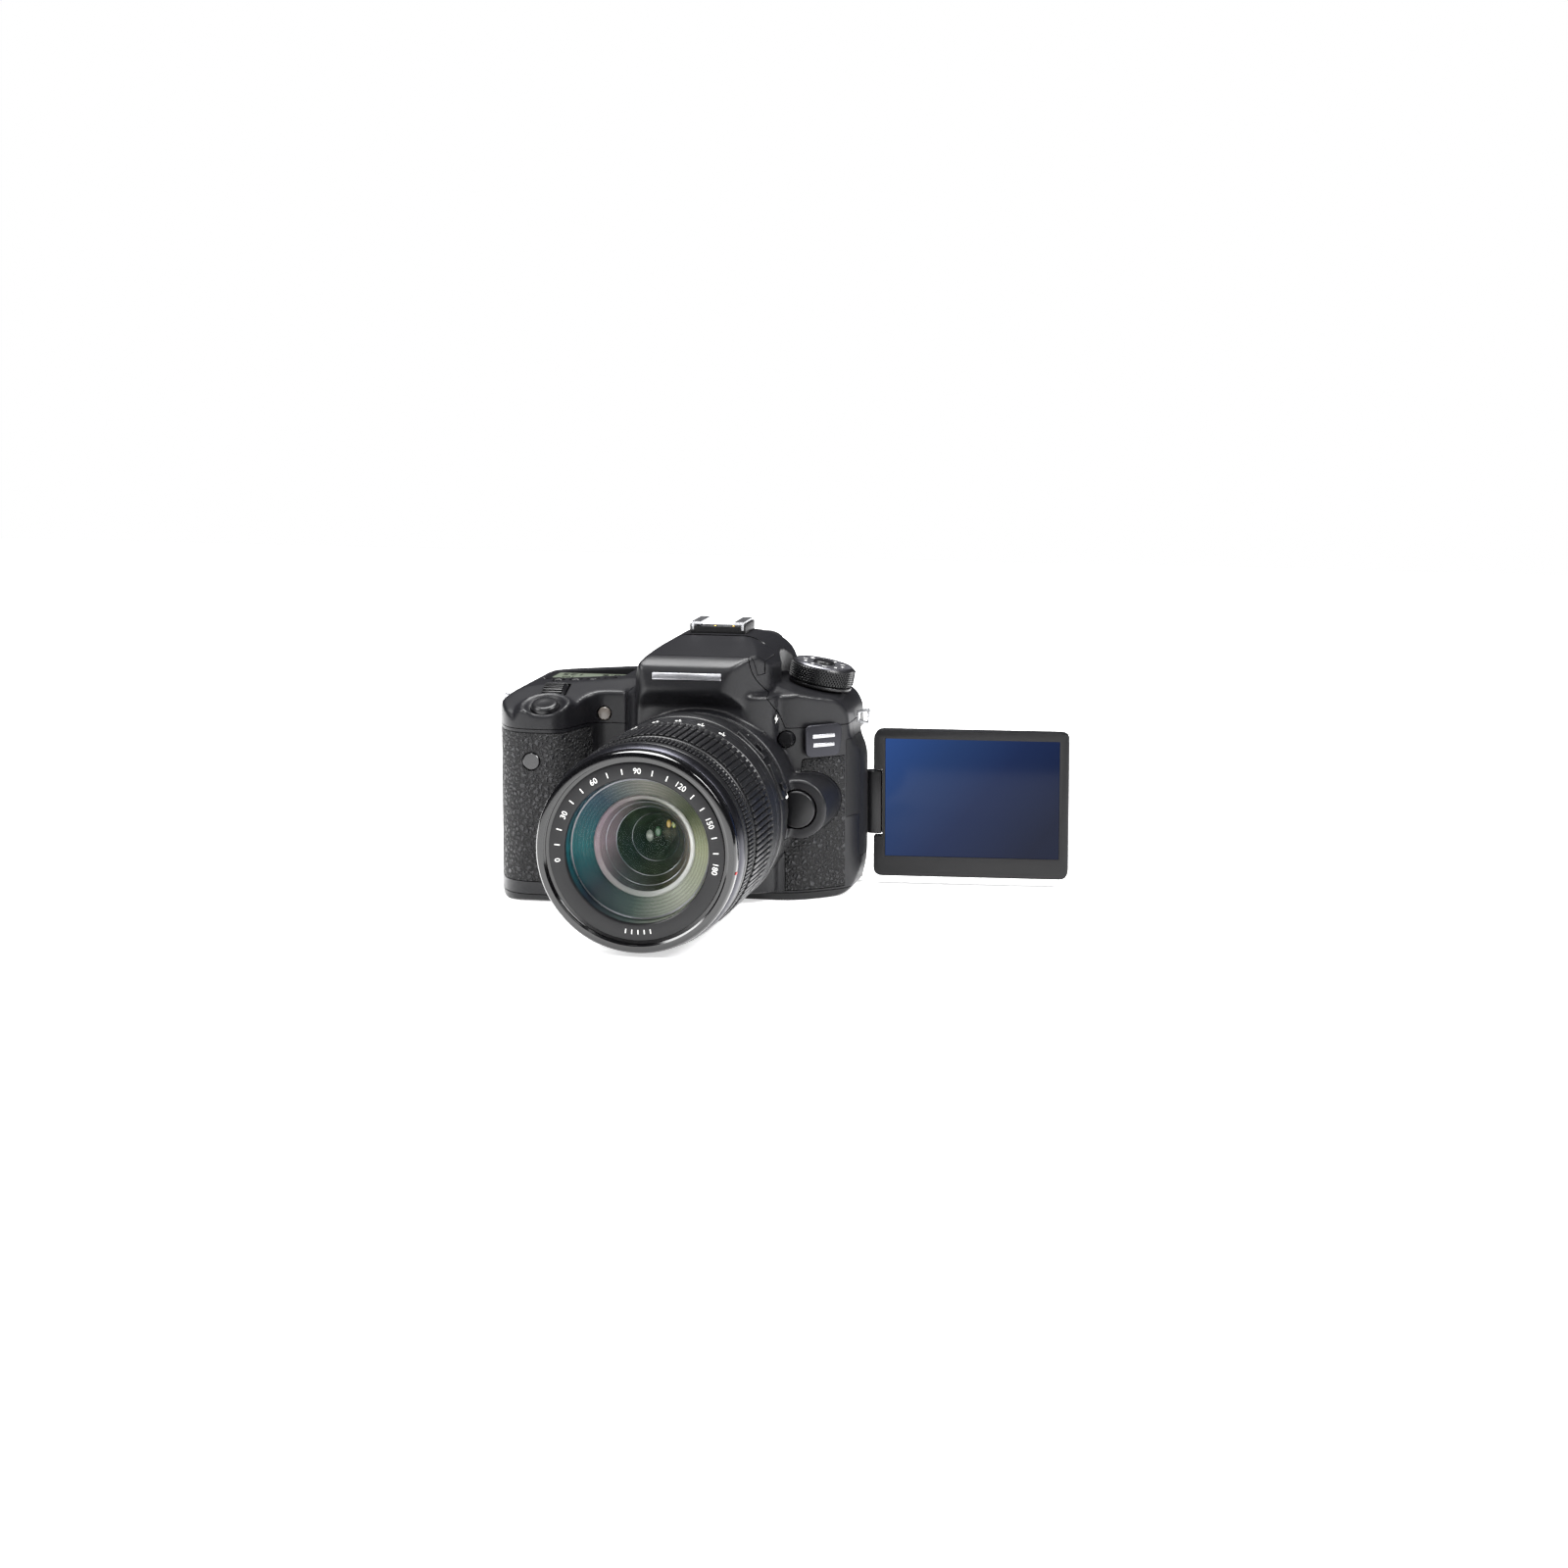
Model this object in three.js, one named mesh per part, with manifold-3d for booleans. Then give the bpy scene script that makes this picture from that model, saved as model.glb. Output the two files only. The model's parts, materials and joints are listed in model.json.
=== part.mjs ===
// A digital single-lens reflex camera with a zoom lens and a swing-out display, in millimetres.
//
// Frame: the origin is under the lens axis on the base, at the sensor plane. +Z is up, -Y points at
// the subject and +X is the side that carries the display. The display is modelled swung out
// sideways with its screen facing the subject.

import * as THREE from "three";
import { mergeVertices } from "three/addons/utils/BufferGeometryUtils.js";
import Module from "manifold-3d";

const wasm = await Module();
wasm.setup();

// ---------------------------------------------------------------- driving dimensions

const GAP = 0.35; // clearance between neighbouring pieces
const WALL = 2.8; // thickness of the moulded covers
const SKIN = 1.0; // thickness of the rubber on the grip and the side
const FAR = 200; // longer than anything it cuts

const LENS_Z = 38.5; // height of the lens axis
const FLANGE_Y = -44; // lens mount face
const SEAM_Z = 67; // joint between the top cover and the front and rear covers
const SPLIT_Y = -4; // joint between the front and rear covers
const BASE_T = 2.9; // height of the base plate's joint
const REAR_Y = 20; // back of the body

const SHOE = { halfWidth: 11, front: -6.6, back: 9.9, bottom: 100.2, top: 104.3 };
const DIAL = { x: 38.5, y: 2, z: 79.6, tilt: 11, radius: 11.8, height: 5.4 };
const DISPLAY = { axisX: 57, axisY: 16, yaw: 4.4, near: 0.72, width: 76, low: 3.5, height: 57.6 };
const SCREEN = { face: 4.15, thickness: 6, glassT: 0.8, left: 4.6, right: 3.6, top: 3.4, low: 8 };
const HINGE_BLOCK = { halfHeight: 12.4, notch: 13.3, reach: 3.8, radius: 3 };
const FLASH = { pivotY: -10.8, pivotZ: 98.4, left: -20.5, right: 23.5 };
const SHUTTER = { x: -59, y: -43.6, z: 73.6, tilt: 20, radius: 5.4 };
const MAIN_DIAL = { x: -59, y: -28, z: 73.4, radius: 8.4, width: 9 };
const QUICK_DIAL = { x: -52, z: 35, radius: 13.6, inner: 9 };
const RELEASE = { x: 38.3, z: 38.2, radius: 7.4, boss: 11.4 };
const MIRROR = { y: -8, z: 52, length: 30, halfWidth: 13.5, thickness: 1.2 };

// ---------------------------------------------------------------- materials

function finish(color, roughness, metalness = 0) {
  return { color, roughness, metalness };
}

const FINISH = {
  shell: finish(0x2a2a2d, 0.55),
  rubber: finish(0x1d1d20, 0.85),
  glossy: finish(0x101012, 0.2),
  barrel: finish(0x1b1b1d, 0.5),
  button: finish(0x18181a, 0.45),
  steel: finish(0xb9bcc0, 0.3, 1),
  alloy: finish(0x7d8084, 0.5, 1),
  glass: finish(0x2c4a55, 0.05),
  clear: finish(0xbfd0d6, 0.05),
  screen: finish(0x22305c, 0.15),
  board: finish(0x1f5a35, 0.6),
  sensor: finish(0x3b6a6e, 0.2),
  lamp: finish(0xd8d4c8, 0.3),
};

// ---------------------------------------------------------------- solids and booleans

function solid(geometry) {
  const bare = geometry.index ? geometry.toNonIndexed() : geometry.clone();
  bare.deleteAttribute("normal");
  bare.deleteAttribute("uv");
  const merged = mergeVertices(bare, 1e-4);
  return new wasm.Manifold(
    new wasm.Mesh({
      numProp: 3,
      vertProperties: merged.attributes.position.array,
      triVerts: new Uint32Array(merged.index.array),
    }),
  );
}

function geometryOf(body) {
  const mesh = body.getMesh();
  const geometry = new THREE.BufferGeometry();
  geometry.setAttribute("position", new THREE.BufferAttribute(mesh.vertProperties, 3));
  geometry.setIndex(new THREE.BufferAttribute(mesh.triVerts, 1));
  geometry.computeVertexNormals();
  return geometry;
}

function join(...bodies) {
  return bodies.reduce((a, b) => a.add(b));
}

function cut(body, ...tools) {
  return tools.reduce((a, b) => a.subtract(b), body);
}

function common(...bodies) {
  return bodies.reduce((a, b) => a.intersect(b));
}

function box(x0, x1, y0, y1, z0, z1) {
  const geometry = new THREE.BoxGeometry(x1 - x0, y1 - y0, z1 - z0);
  return solid(geometry.translate((x0 + x1) / 2, (y0 + y1) / 2, (z0 + z1) / 2));
}

// A closed outline of [a, b, cut] corners, where cut is the length that rounding takes off each
// side, up to just under half of it.
function rounded(points) {
  const shape = new THREE.Shape();
  points.forEach(([a, b, r = 0], i) => {
    const [pa, pb] = points.at(i - 1);
    const [na, nb] = points[(i + 1) % points.length];
    const back = Math.min(r / Math.hypot(pa - a, pb - b), 0.47);
    const on = Math.min(r / Math.hypot(na - a, nb - b), 0.47);
    const start = [a + (pa - a) * back, b + (pb - b) * back];
    if (i === 0) shape.moveTo(...start);
    else shape.lineTo(...start);
    if (r > 0) shape.quadraticCurveTo(a, b, a + (na - a) * on, b + (nb - b) * on);
  });
  shape.closePath();
  return shape;
}

// The same outline moved inwards; the corners run counter-clockwise.
function inset(points, by) {
  return points.map(([a, b, r = 0], i) => {
    const [pa, pb] = points.at(i - 1);
    const [na, nb] = points[(i + 1) % points.length];
    const before = Math.hypot(a - pa, b - pb);
    const after = Math.hypot(na - a, nb - b);
    const n1 = [-(b - pb) / before, (a - pa) / before];
    const n2 = [-(nb - b) / after, (na - a) / after];
    const k = by / (1 + n1[0] * n2[0] + n1[1] * n2[1]);
    return [a + (n1[0] + n2[0]) * k, b + (n1[1] + n2[1]) * k, Math.max(r - by / 2, 0.2)];
  });
}

const AXES = {
  x: [new THREE.Vector3(0, 1, 0), new THREE.Vector3(0, 0, 1), new THREE.Vector3(1, 0, 0)],
  y: [new THREE.Vector3(1, 0, 0), new THREE.Vector3(0, 0, 1), new THREE.Vector3(0, -1, 0)],
  z: [new THREE.Vector3(1, 0, 0), new THREE.Vector3(0, 1, 0), new THREE.Vector3(0, 0, 1)],
};

// An outline in the two other axes, in X, Y, Z order, stretched along the named axis.
function prism(axis, points, low, high, curveSegments = 3) {
  const depth = high - low;
  const geometry = new THREE.ExtrudeGeometry(rounded(points), {
    depth,
    bevelEnabled: false,
    curveSegments,
  });
  geometry.applyMatrix4(new THREE.Matrix4().makeBasis(...AXES[axis]));
  const shift = { x: [low, 0, 0], y: [0, high, 0], z: [0, 0, low] }[axis];
  return solid(geometry.translate(...shift));
}

// A cylinder along an axis; centre gives the two other coordinates, in X, Y, Z order.
function drum(axis, centre, radius, low, high, segments = 24, tip = radius) {
  const geometry = new THREE.CylinderGeometry(tip, radius, high - low, segments);
  const middle = (low + high) / 2;
  const [a, b] = centre;
  if (axis === "x") geometry.rotateZ(-Math.PI / 2).translate(middle, a, b);
  if (axis === "y") geometry.translate(a, middle, b);
  if (axis === "z") geometry.rotateX(Math.PI / 2).translate(a, b, middle);
  return solid(geometry);
}

// A turned piece about its own Y axis, from a closed outline of [radius, y] points.
function turned(profile, segments = 40) {
  const next = (i) => profile[(i + 1) % profile.length];
  const area = profile.reduce((sum, [r, y], i) => sum + r * next(i)[1] - next(i)[0] * y, 0);
  const ordered = area > 0 ? profile : [...profile].reverse();
  const points = ordered.map(([r, y]) => new THREE.Vector2(r, y));
  if (ordered[0][0] > 0) points.push(points[0].clone());
  return solid(new THREE.LatheGeometry(points, segments));
}

// ---------------------------------------------------------------- body outlines

const PLAN = [
  [-80, 20, 10], [-83, -24, 16], [-73, -50, 11], [-51, -50, 6], [-45, -28, 7],
  [35, -28, 9], [56.2, -10, 12], [56.2, 20, 5],
];

const ELEVATION = [
  [-83, 0, 5], [53, 0, 6], [56.2, 11, 6], [56.2, 55, 4], [52.6, 62, 4], [52.6, 71, 3],
  [49, 77, 3], [24, 82.6, 3], [-30, 83.2, 3], [-64, 80.8, 5], [-79.5, 77, 7], [-83, 66, 7],
];

const SIDE = [
  [-50, 0, 4], [20, 0, 3], [20, 86, 6], [-8, 86, 4], [-50, 75, 8],
];

const HUMP_PLAN = [
  [-27, 20, 4], [-28, -28, 8], [-22, -44.5, 5], [12.5, -44.5, 7], [25, -30, 8], [27, 20, 4],
];

const HUMP_ELEVATION = [
  [-30, 66], [30, 66], [27, 88, 4], [22.5, 95, 4], [14, 99.9, 5], [-13, 99.9, 5],
  [-21, 95.5, 4], [-27, 86, 6],
];

const HUMP_SIDE = [
  [-37, 60], [20, 60], [20, 95, 4], [12, 99.9, 3], [-9, 99.9, 3], [-38, 94.6, 3],
  [-42.6, 91.4, 1.5], [-44.5, 82.6, 2], [-38, 75, 2],
];

const COLUMN_PLAN = [
  [-32, -20], [-30, -34, 4], [-20, -39, 6], [18, -39, 6], [27, -34, 4], [31, -20],
];

// Corners are given clockwise where that reads better; this turns them the other way.
function counterClockwise(points) {
  const area = points.reduce((sum, [a, b], i) => {
    const [c, d] = points[(i + 1) % points.length];
    return sum + a * d - c * b;
  }, 0);
  return area > 0 ? points : [...points].reverse();
}

function mainBlock(by) {
  return common(
    prism("z", inset(counterClockwise(PLAN), by), -FAR, FAR),
    prism("y", inset(counterClockwise(ELEVATION), by), -FAR, FAR),
    prism("x", inset(counterClockwise(SIDE), by), -FAR, FAR),
  );
}

function hump(by) {
  return common(
    prism("z", inset(counterClockwise(HUMP_PLAN), by), -FAR, FAR),
    prism("y", inset(counterClockwise(HUMP_ELEVATION), by), -FAR, FAR),
    prism("x", inset(counterClockwise(HUMP_SIDE), by), -FAR, FAR),
  );
}

function column(by) {
  const outline = inset(counterClockwise(COLUMN_PLAN), by);
  return prism("z", outline, 4 + by, 80 - by);
}

const outer = join(
  mainBlock(0),
  hump(0),
  column(0),
  drum("y", [0, LENS_Z], 36.4, FLANGE_Y + 0.2, -26, 40),
  drum("y", [RELEASE.x, RELEASE.z], RELEASE.boss, -40.5, -14, 24),
  prism("y", [[-79, 28, 6], [-66, 28, 6], [-60, 66, 5], [-76, 66, 8]], 10, 23.5),
);
const inner = join(mainBlock(WALL), hump(WALL), column(WALL));
const throat = drum("y", [0, LENS_Z], 26.4, -FAR, -20, 40);
const mountSeat = drum("y", [0, LENS_Z], 32.9, -FAR, -40.9, 40);

// ---------------------------------------------------------------- moving pieces of the body

function pose(body, rotation, position) {
  const matrix = new THREE.Matrix4().compose(
    new THREE.Vector3(...position),
    new THREE.Quaternion().setFromEuler(new THREE.Euler(...rotation)),
    new THREE.Vector3(1, 1, 1),
  );
  return body.transform(matrix.elements);
}

const RAD = Math.PI / 180;

function tiltedDial(body) {
  return pose(body, [0, DIAL.tilt * RAD, 0], [DIAL.x, DIAL.y, DIAL.z]);
}

function tiltedShutter(body) {
  return pose(body, [SHUTTER.tilt * RAD, 0, 0], [SHUTTER.x, SHUTTER.y, SHUTTER.z]);
}

function dialParts() {
  const top = 1.9 + DIAL.height;
  const lever = join(
    drum("z", [0, 0], DIAL.radius + 0.4, 0.3, 1.6, 32),
    prism("z", [[-4, 8], [4, 8], [3, 16.5, 1.5], [-3, 16.5, 1.5]], 0.3, 1.6),
  );
  const hub = drum("z", [0, 0], 5, -1, FAR, 24);
  return {
    mode_dial: tiltedDial(
      cut(drum("z", [0, 0], DIAL.radius, 1.9, top, 36), drum("z", [0, 0], 4.4, -FAR, FAR)),
    ),
    mode_dial_lock: tiltedDial(drum("z", [0, 0], 4, 2.2, top + 0.9)),
    power_switch: tiltedDial(cut(lever, hub)),
  };
}

// The space under the dial and its lever, which the shoulder of the top cover leaves free.
const dialSeat = tiltedDial(drum("z", [0, 0], 17.5, 0, 30, 24));

function shutterParts() {
  return {
    shutter_button: tiltedShutter(drum("z", [0, 0], SHUTTER.radius, -2, 3.2, 24, 5)),
    pocket: tiltedShutter(drum("z", [0, 0], SHUTTER.radius + GAP, -10, 25, 24)),
    collar: common(
      tiltedShutter(drum("z", [0, 0], 9.2, -6, 1.6, 28, 8.4)),
      prism("z", counterClockwise(PLAN), -FAR, FAR),
      box(-FAR, FAR, -FAR, FAR, SEAM_Z + GAP, FAR),
    ),
  };
}

function mainDialParts() {
  const { x, y, z, radius, width } = MAIN_DIAL;
  return {
    main_dial: drum("x", [y, z], radius, x - width / 2, x + width / 2, 28),
    pocket: drum("x", [y, z], radius + 0.6, x - width / 2 - GAP, x + width / 2 + GAP, 28),
  };
}

const TOP_BUTTONS = [
  ["af_button", -40.5], ["drive_button", -47.5], ["iso_button", -54.5], ["metering_button", -61.5],
];
const TOP_BUTTON_Y = -15;
const TOP_BUTTON_HEIGHT = (x) => 83.6 + 0.03 * x; // the top cover falls away towards the grip
const REAR_BUTTONS = [
  ["menu_button", 45, 68.5, 2.9], ["info_button", 35.5, 68.5, 2.9],
  ["live_view_button", -29.5, 68.5, 3.2], ["playback_button", -31, 13.5, 2.9],
  ["af_on_button", -50, 71.5, 3.2],
];

function topButtons() {
  return TOP_BUTTONS.map(([name, x]) => [
    name,
    drum("z", [x, TOP_BUTTON_Y], 2.4, 78.2, TOP_BUTTON_HEIGHT(x), 18),
    drum("z", [x, TOP_BUTTON_Y], 2.4 + GAP, 74, FAR, 18),
  ]);
}

function rearButtons() {
  return REAR_BUTTONS.map(([name, x, z, radius]) => [
    name,
    drum("y", [x, z], radius, 18.3, 21.3, 18),
    drum("y", [x, z], radius + GAP, 15, FAR, 18),
  ]);
}

function quickDialParts() {
  const { x, z, radius, inner: hole } = QUICK_DIAL;
  const at = [x, z];
  const ring = (outerR, innerR, low, high) =>
    cut(drum("y", at, outerR, low, high, 32), drum("y", at, innerR, -FAR, FAR, 32));
  return {
    quick_dial: ring(radius, hole + GAP, 18.6, 21.6),
    multi_controller: ring(hole, 4.2 + GAP, 18.8, 21.9),
    set_button: drum("y", at, 4.2, 18.8, 22, 24),
    pocket: drum("y", at, radius + 0.5, 18.2, FAR, 32),
  };
}

// The pop-up flash: a piece of the hump between the front plate and the accessory shoe.
function flashSpace(grow) {
  const outline = [
    [-35.9 - grow, 110], [-35.8 - grow, 96], [-33.4 - grow, 88 - grow], [-13 + grow, 89.6 - grow],
    [FLASH.pivotY + grow, 94.6], [FLASH.pivotY + grow, 110],
  ];
  return prism("x", counterClockwise(outline), FLASH.left - grow, FLASH.right + grow);
}

// The groove that the rear edge of the flash turns in.
const flashGroove = drum("x", [FLASH.pivotY, FLASH.pivotZ], 1.9, FLASH.left - GAP,
  FLASH.right + GAP, 16);

function flashParts() {
  const head = common(hump(0), flashSpace(0));
  const window = prism("x", [[-34, 90.6], [-32.8, 90.6], [-33.1, 93.4], [-34.3, 93.4]], -14, 14);
  const seat = prism("x", [[-60, 90.3], [-32.5, 90.3], [-32.8, 93.7], [-60, 93.7]], -14.3, 14.3);
  return { flash_head: cut(head, seat), flash_window: window };
}

function releaseParts() {
  const at = [RELEASE.x, RELEASE.z];
  const mountSide = (radius) => drum("y", [0, LENS_Z], radius, -FAR, 0, 60);
  return {
    lens_release_button: cut(
      drum("y", at, RELEASE.radius - 0.3, -41.9, -34, 28, RELEASE.radius),
      mountSide(34.8),
    ),
    pocket: cut(drum("y", at, RELEASE.radius + GAP, -FAR, -32.4, 28), mountSide(34.3)),
  };
}

const FLASH_BUTTON = { at: [31.5, 62.8], radius: 3.1 };

// ---------------------------------------------------------------- doors cut out of the covers

const DOORS = {
  card_door: { space: (g) => box(-FAR, -77 - g, -1 + g, 15 - g, 20 + g, 58 - g) },
  terminal_cover_front: { space: (g) => box(50 + g, FAR, -12.5 + g, -4.2 - g, 31 + g, 61 - g) },
  terminal_cover_rear: { space: (g) => box(50 + g, FAR, -3.6 + g, 8.6 - g, 14 + g, 61 - g) },
};

const batteryDoorSpace = (g) => box(-77 + g, -52 - g, -38 + g, 5 - g, -5, BASE_T - g);

// ---------------------------------------------------------------- covers

const GRIP_RUBBER = (g) =>
  cut(box(-FAR, -36.3 - g, -FAR, -4.5 - g, 8 + g, 65.6 - g), box(-45, -30, -26, 0, 0, 70));
const SIDE_RUBBER = (g) =>
  cut(
    prism("y", counterClockwise([[31 + g, 4 + g], [60, 4 + g], [60, 55 - g], [37 + g, 55 - g],
      [37 + g, 50.5], [31 + g, 25], [31 + g, 20]]), -FAR, -13),
    drum("y", [RELEASE.x, RELEASE.z], RELEASE.boss + 0.6 + g, -FAR, 0, 24),
  );

// What belongs to the front cover above the seam: the front of the prism housing.
function frontAboveSeam(g) {
  return common(
    prism("x", [[-60, SEAM_Z - 1], [-24 - g, SEAM_Z - 1], [-24 - g, 84], [-33.2 - g, 88],
      [-35.6 - g, 96], [-35.7 - g, 110], [-60, 110]], -FAR, FAR),
    prism("y", [[-31 + g, 60], [34 - g, 60], [27 - g, 77], [20 - g, 88], [16 - g, 110],
      [-23 + g, 110], [-29 + g, 86]], -FAR, FAR),
  );
}

function covers() {
  const skinZone = cut(mainBlock(-1), mainBlock(SKIN + GAP));
  const shell = cut(outer, inner, throat, mountSeat);
  const skinned = cut(
    shell,
    common(skinZone, GRIP_RUBBER(-0.15)),
    common(skinZone, SIDE_RUBBER(-0.15)),
  );
  const below = box(-FAR, FAR, -FAR, FAR, -FAR, BASE_T);
  const above = box(-FAR, FAR, -FAR, FAR, SEAM_Z + GAP / 2, FAR);
  const middle = box(-FAR, FAR, -FAR, FAR, BASE_T + GAP, SEAM_Z - GAP / 2);
  const ahead = box(-FAR, FAR, -FAR, SPLIT_Y - GAP / 2, -FAR, FAR);
  const behind = box(-FAR, FAR, SPLIT_Y + GAP / 2, FAR, -FAR, FAR);
  const rubber = cut(mainBlock(0), mainBlock(SKIN));
  return {
    bottom_cover: common(mainBlock(0), below),
    front_cover: common(skinned, join(common(middle, ahead), frontAboveSeam(GAP / 2))),
    rear_cover: common(skinned, middle, behind),
    top_cover: cut(common(shell, above), frontAboveSeam(-GAP / 2)),
    grip_rubber: common(rubber, GRIP_RUBBER(GAP)),
    side_rubber: common(rubber, SIDE_RUBBER(GAP)),
  };
}

// ---------------------------------------------------------------- display

// Along X from the swing axis, along Y away from the screen, along Z up.
function displayParts() {
  const { near, width, low, height } = DISPLAY;
  const { face, thickness, glassT } = SCREEN;
  const middle = low + height / 2;
  const far = near + width;
  const outline = [
    [near, low, 3.5], [far, low, 3.5], [far, low + height, 3.5], [near, low + height, 3.5],
  ];
  const panel = prism("y", outline, -face, thickness - face, 4);
  const notch = box(-10, near + 3.4, -20, 20, middle - HINGE_BLOCK.notch, middle + HINGE_BLOCK.notch);
  const glass = (g) =>
    box(near + SCREEN.left - g, far - SCREEN.right + g, -face - 1, -face + glassT + g,
      low + SCREEN.low - g, low + height - SCREEN.top + g);
  const block = join(
    drum("z", [0, 0], HINGE_BLOCK.radius, middle - HINGE_BLOCK.halfHeight,
      middle + HINGE_BLOCK.halfHeight, 24),
    box(0, HINGE_BLOCK.reach, -3, 1.6, middle - HINGE_BLOCK.halfHeight,
      middle + HINGE_BLOCK.halfHeight),
  );
  return {
    display_hinge: block,
    display_housing: cut(panel, notch, glass(GAP / 3)),
    display_glass: common(glass(0), box(-FAR, FAR, -face, FAR, -FAR, FAR)),
  };
}

// The recess that takes the folded display, and the clearance its near edge swings through.
function displayBay() {
  const { axisX, axisY, low, height } = DISPLAY;
  return join(
    box(-20.4, FAR, 13.3, FAR, low - 0.6, low + height + 0.6),
    drum("z", [axisX, axisY], 4.8, low - 0.6, low + height + 0.6, 28),
    drum("z", [axisX, axisY], 5.8, low + 14, low + height - 14, 28),
  );
}

// The floor of that recess, which closes the rear cover again.
function bayFloor() {
  const { axisX, axisY, low, height } = DISPLAY;
  const slab = join(
    box(-23, 54.5, 10.6, 13.3, low - 0.3, SEAM_Z - GAP / 2),
    box(-23, 54.5, 10.6, 19, low + height + 0.6, SEAM_Z - GAP / 2),
    box(-23.2, -20.4, 10.6, 19, BASE_T + GAP, SEAM_Z - GAP / 2),
  );
  const swing = drum("z", [axisX, axisY], 5.8, low - 0.6, low + height + 0.6, 28);
  return cut(slab, swing, box(-FAR, FAR, -FAR, FAR, -FAR, BASE_T + GAP));
}

// ---------------------------------------------------------------- small fittings

function hotShoe() {
  const { halfWidth, front, back, bottom, top } = SHOE;
  const rail = [
    [-halfWidth, bottom], [halfWidth, bottom], [halfWidth, top], [6.5, top], [6.5, top - 1],
    [9.4, top - 1], [9.4, bottom + 0.9], [-9.4, bottom + 0.9], [-9.4, top - 1], [-6.5, top - 1],
    [-6.5, top], [-halfWidth, top],
  ];
  return prism("y", rail, front, back);
}

function eyecup() {
  const ring = (w, low, high, r) => [[-w, low, r], [w, low, r], [w, high, r], [-w, high, r]];
  return cut(
    prism("y", ring(20, 71.5, 97, 8), REAR_Y + GAP, 28.5),
    prism("y", ring(12.2, 76.2, 93, 4), -FAR, FAR),
  );
}

function strapLug(side, x, y, z) {
  const loop = [
    [x, z - 2.2, 0.5], [x + side * 5.4, z - 3.4, 1.5], [x + side * 5.4, z + 3.4, 1.5],
    [x, z + 2.2, 0.5],
  ];
  const hole = inset(counterClockwise(loop), 1.1);
  return cut(
    prism("y", counterClockwise(loop), y - 0.8, y + 0.8),
    prism("y", hole, y - FAR, y + FAR),
  );
}

function badgePlate() {
  const plate = prism("y", [[-8, 0, 2.5], [7, 0, 2.5], [8.2, 12.4, 2.5], [-8.2, 12.4, 2.5]], -1, 0);
  return pose(plate, [0, 0, 42 * RAD], [44.6, -22, 55.8]);
}

// ---------------------------------------------------------------- inner works

function chassis() {
  return cut(box(-24, 24, -24, -3.2, 15, 61), box(-17.5, 17.5, -FAR, FAR, 22, 55));
}

function reflexMirror() {
  const { y, z, length, halfWidth, thickness } = MIRROR;
  const plate = box(-halfWidth, halfWidth, -length, 0, -thickness, 0);
  return pose(plate, [45 * RAD, 0, 0], [0, y, z]);
}

function pentaprism() {
  const outline = [[-23, 65], [3, 65], [10, 78], [-2, 86.5], [-20, 84]];
  return prism("x", outline, -14, 14);
}

function shutterUnit() {
  return cut(box(-24, 24, -2.8, -0.6, 18, 58), box(-12.4, 12.4, -FAR, FAR, 29.8, 47.2));
}

// ---------------------------------------------------------------- lens, about its own axis

const ZOOM_RING = { front: -112.9, back: -67.6 };
const FOCUS_RING = { front: -126.9, back: -113.3 };

function lensBarrel() {
  const tube = turned([
    [22.4, -47.4], [33, -47.4], [33, -44.5], [35.8, -44.5], [36.6, -52], [38.1, -57],
    [38.1, -67.2], [33.4, -67.2], [33.4, -126.6], [31.4, -126.6], [31.4, -52], [22.4, -52],
  ]);
  return join(tube, switchPad(SWITCHES.focus_mode_switch), switchPad(SWITCHES.stabilizer_switch));
}

const SWITCHES = { focus_mode_switch: 47, stabilizer_switch: 22 };

function atAngle(body, degrees) {
  return pose(body, [0, -degrees * RAD, 0], [0, 0, 0]);
}

function switchPad(degrees) {
  return atAngle(box(35, 38.7, -66, -57.5, -7, 7), degrees);
}

function lensSwitch(degrees) {
  return atAngle(box(38.95, 40, -64.2, -59.6, -4.2, -1.2), degrees);
}

function lensParts() {
  return {
    lens_barrel: lensBarrel(),
    lens_mount_ring: turned([
      [22, -47], [32, -47], [32, -44.2], [25.4, -44.2], [25.4, -41.5], [22, -41.5],
    ]),
    zoom_ring: turned([
      [33.8, ZOOM_RING.back], [38, ZOOM_RING.back], [38.3, -83], [38.3, -110],
      [37.8, ZOOM_RING.front], [33.8, ZOOM_RING.front],
    ]),
    focus_ring: turned([
      [33.8, FOCUS_RING.back], [37.6, FOCUS_RING.back], [38, -114.5], [38, -122.5],
      [37.6, FOCUS_RING.front], [33.8, FOCUS_RING.front],
    ]),
    front_barrel: turned([
      [29.4, -70], [31, -70], [31, -127.4], [37.4, -127.4], [37.9, -129.5], [36.7, -134.6],
      [37, -136.5], [36.2, -140], [33.6, -140], [33.5, -138.9], [31.8, -138.4], [26.5, -138.1],
      [26.5, -128.6], [24, -128.6], [24, -124], [29.4, -122],
    ]),
    front_element: turned([
      [0, -137.6], [9, -137.2], [17, -136], [23, -134.4], [26.1, -133], [26.1, -129], [0, -127],
    ]),
    rear_element: turned([
      [0, -42.4], [12, -43.3], [13, -44.5], [13, -48.6], [21.8, -48.6], [21.8, -51.6], [0, -51.6],
    ]),
    focus_mode_switch: lensSwitch(SWITCHES.focus_mode_switch),
    stabilizer_switch: lensSwitch(SWITCHES.stabilizer_switch),
  };
}

// ---------------------------------------------------------------- assembly

const camera = new THREE.Group();
const lens = new THREE.Group();
lens.position.set(0, 0, LENS_Z);
const display = new THREE.Group();
display.position.set(DISPLAY.axisX, DISPLAY.axisY, 0);
display.rotation.z = DISPLAY.yaw * RAD;
camera.add(lens, display);

function place(parent, name, body, look) {
  const mesh = new THREE.Mesh(geometryOf(body), new THREE.MeshStandardMaterial(look));
  mesh.name = name;
  parent.add(mesh);
}

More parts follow.
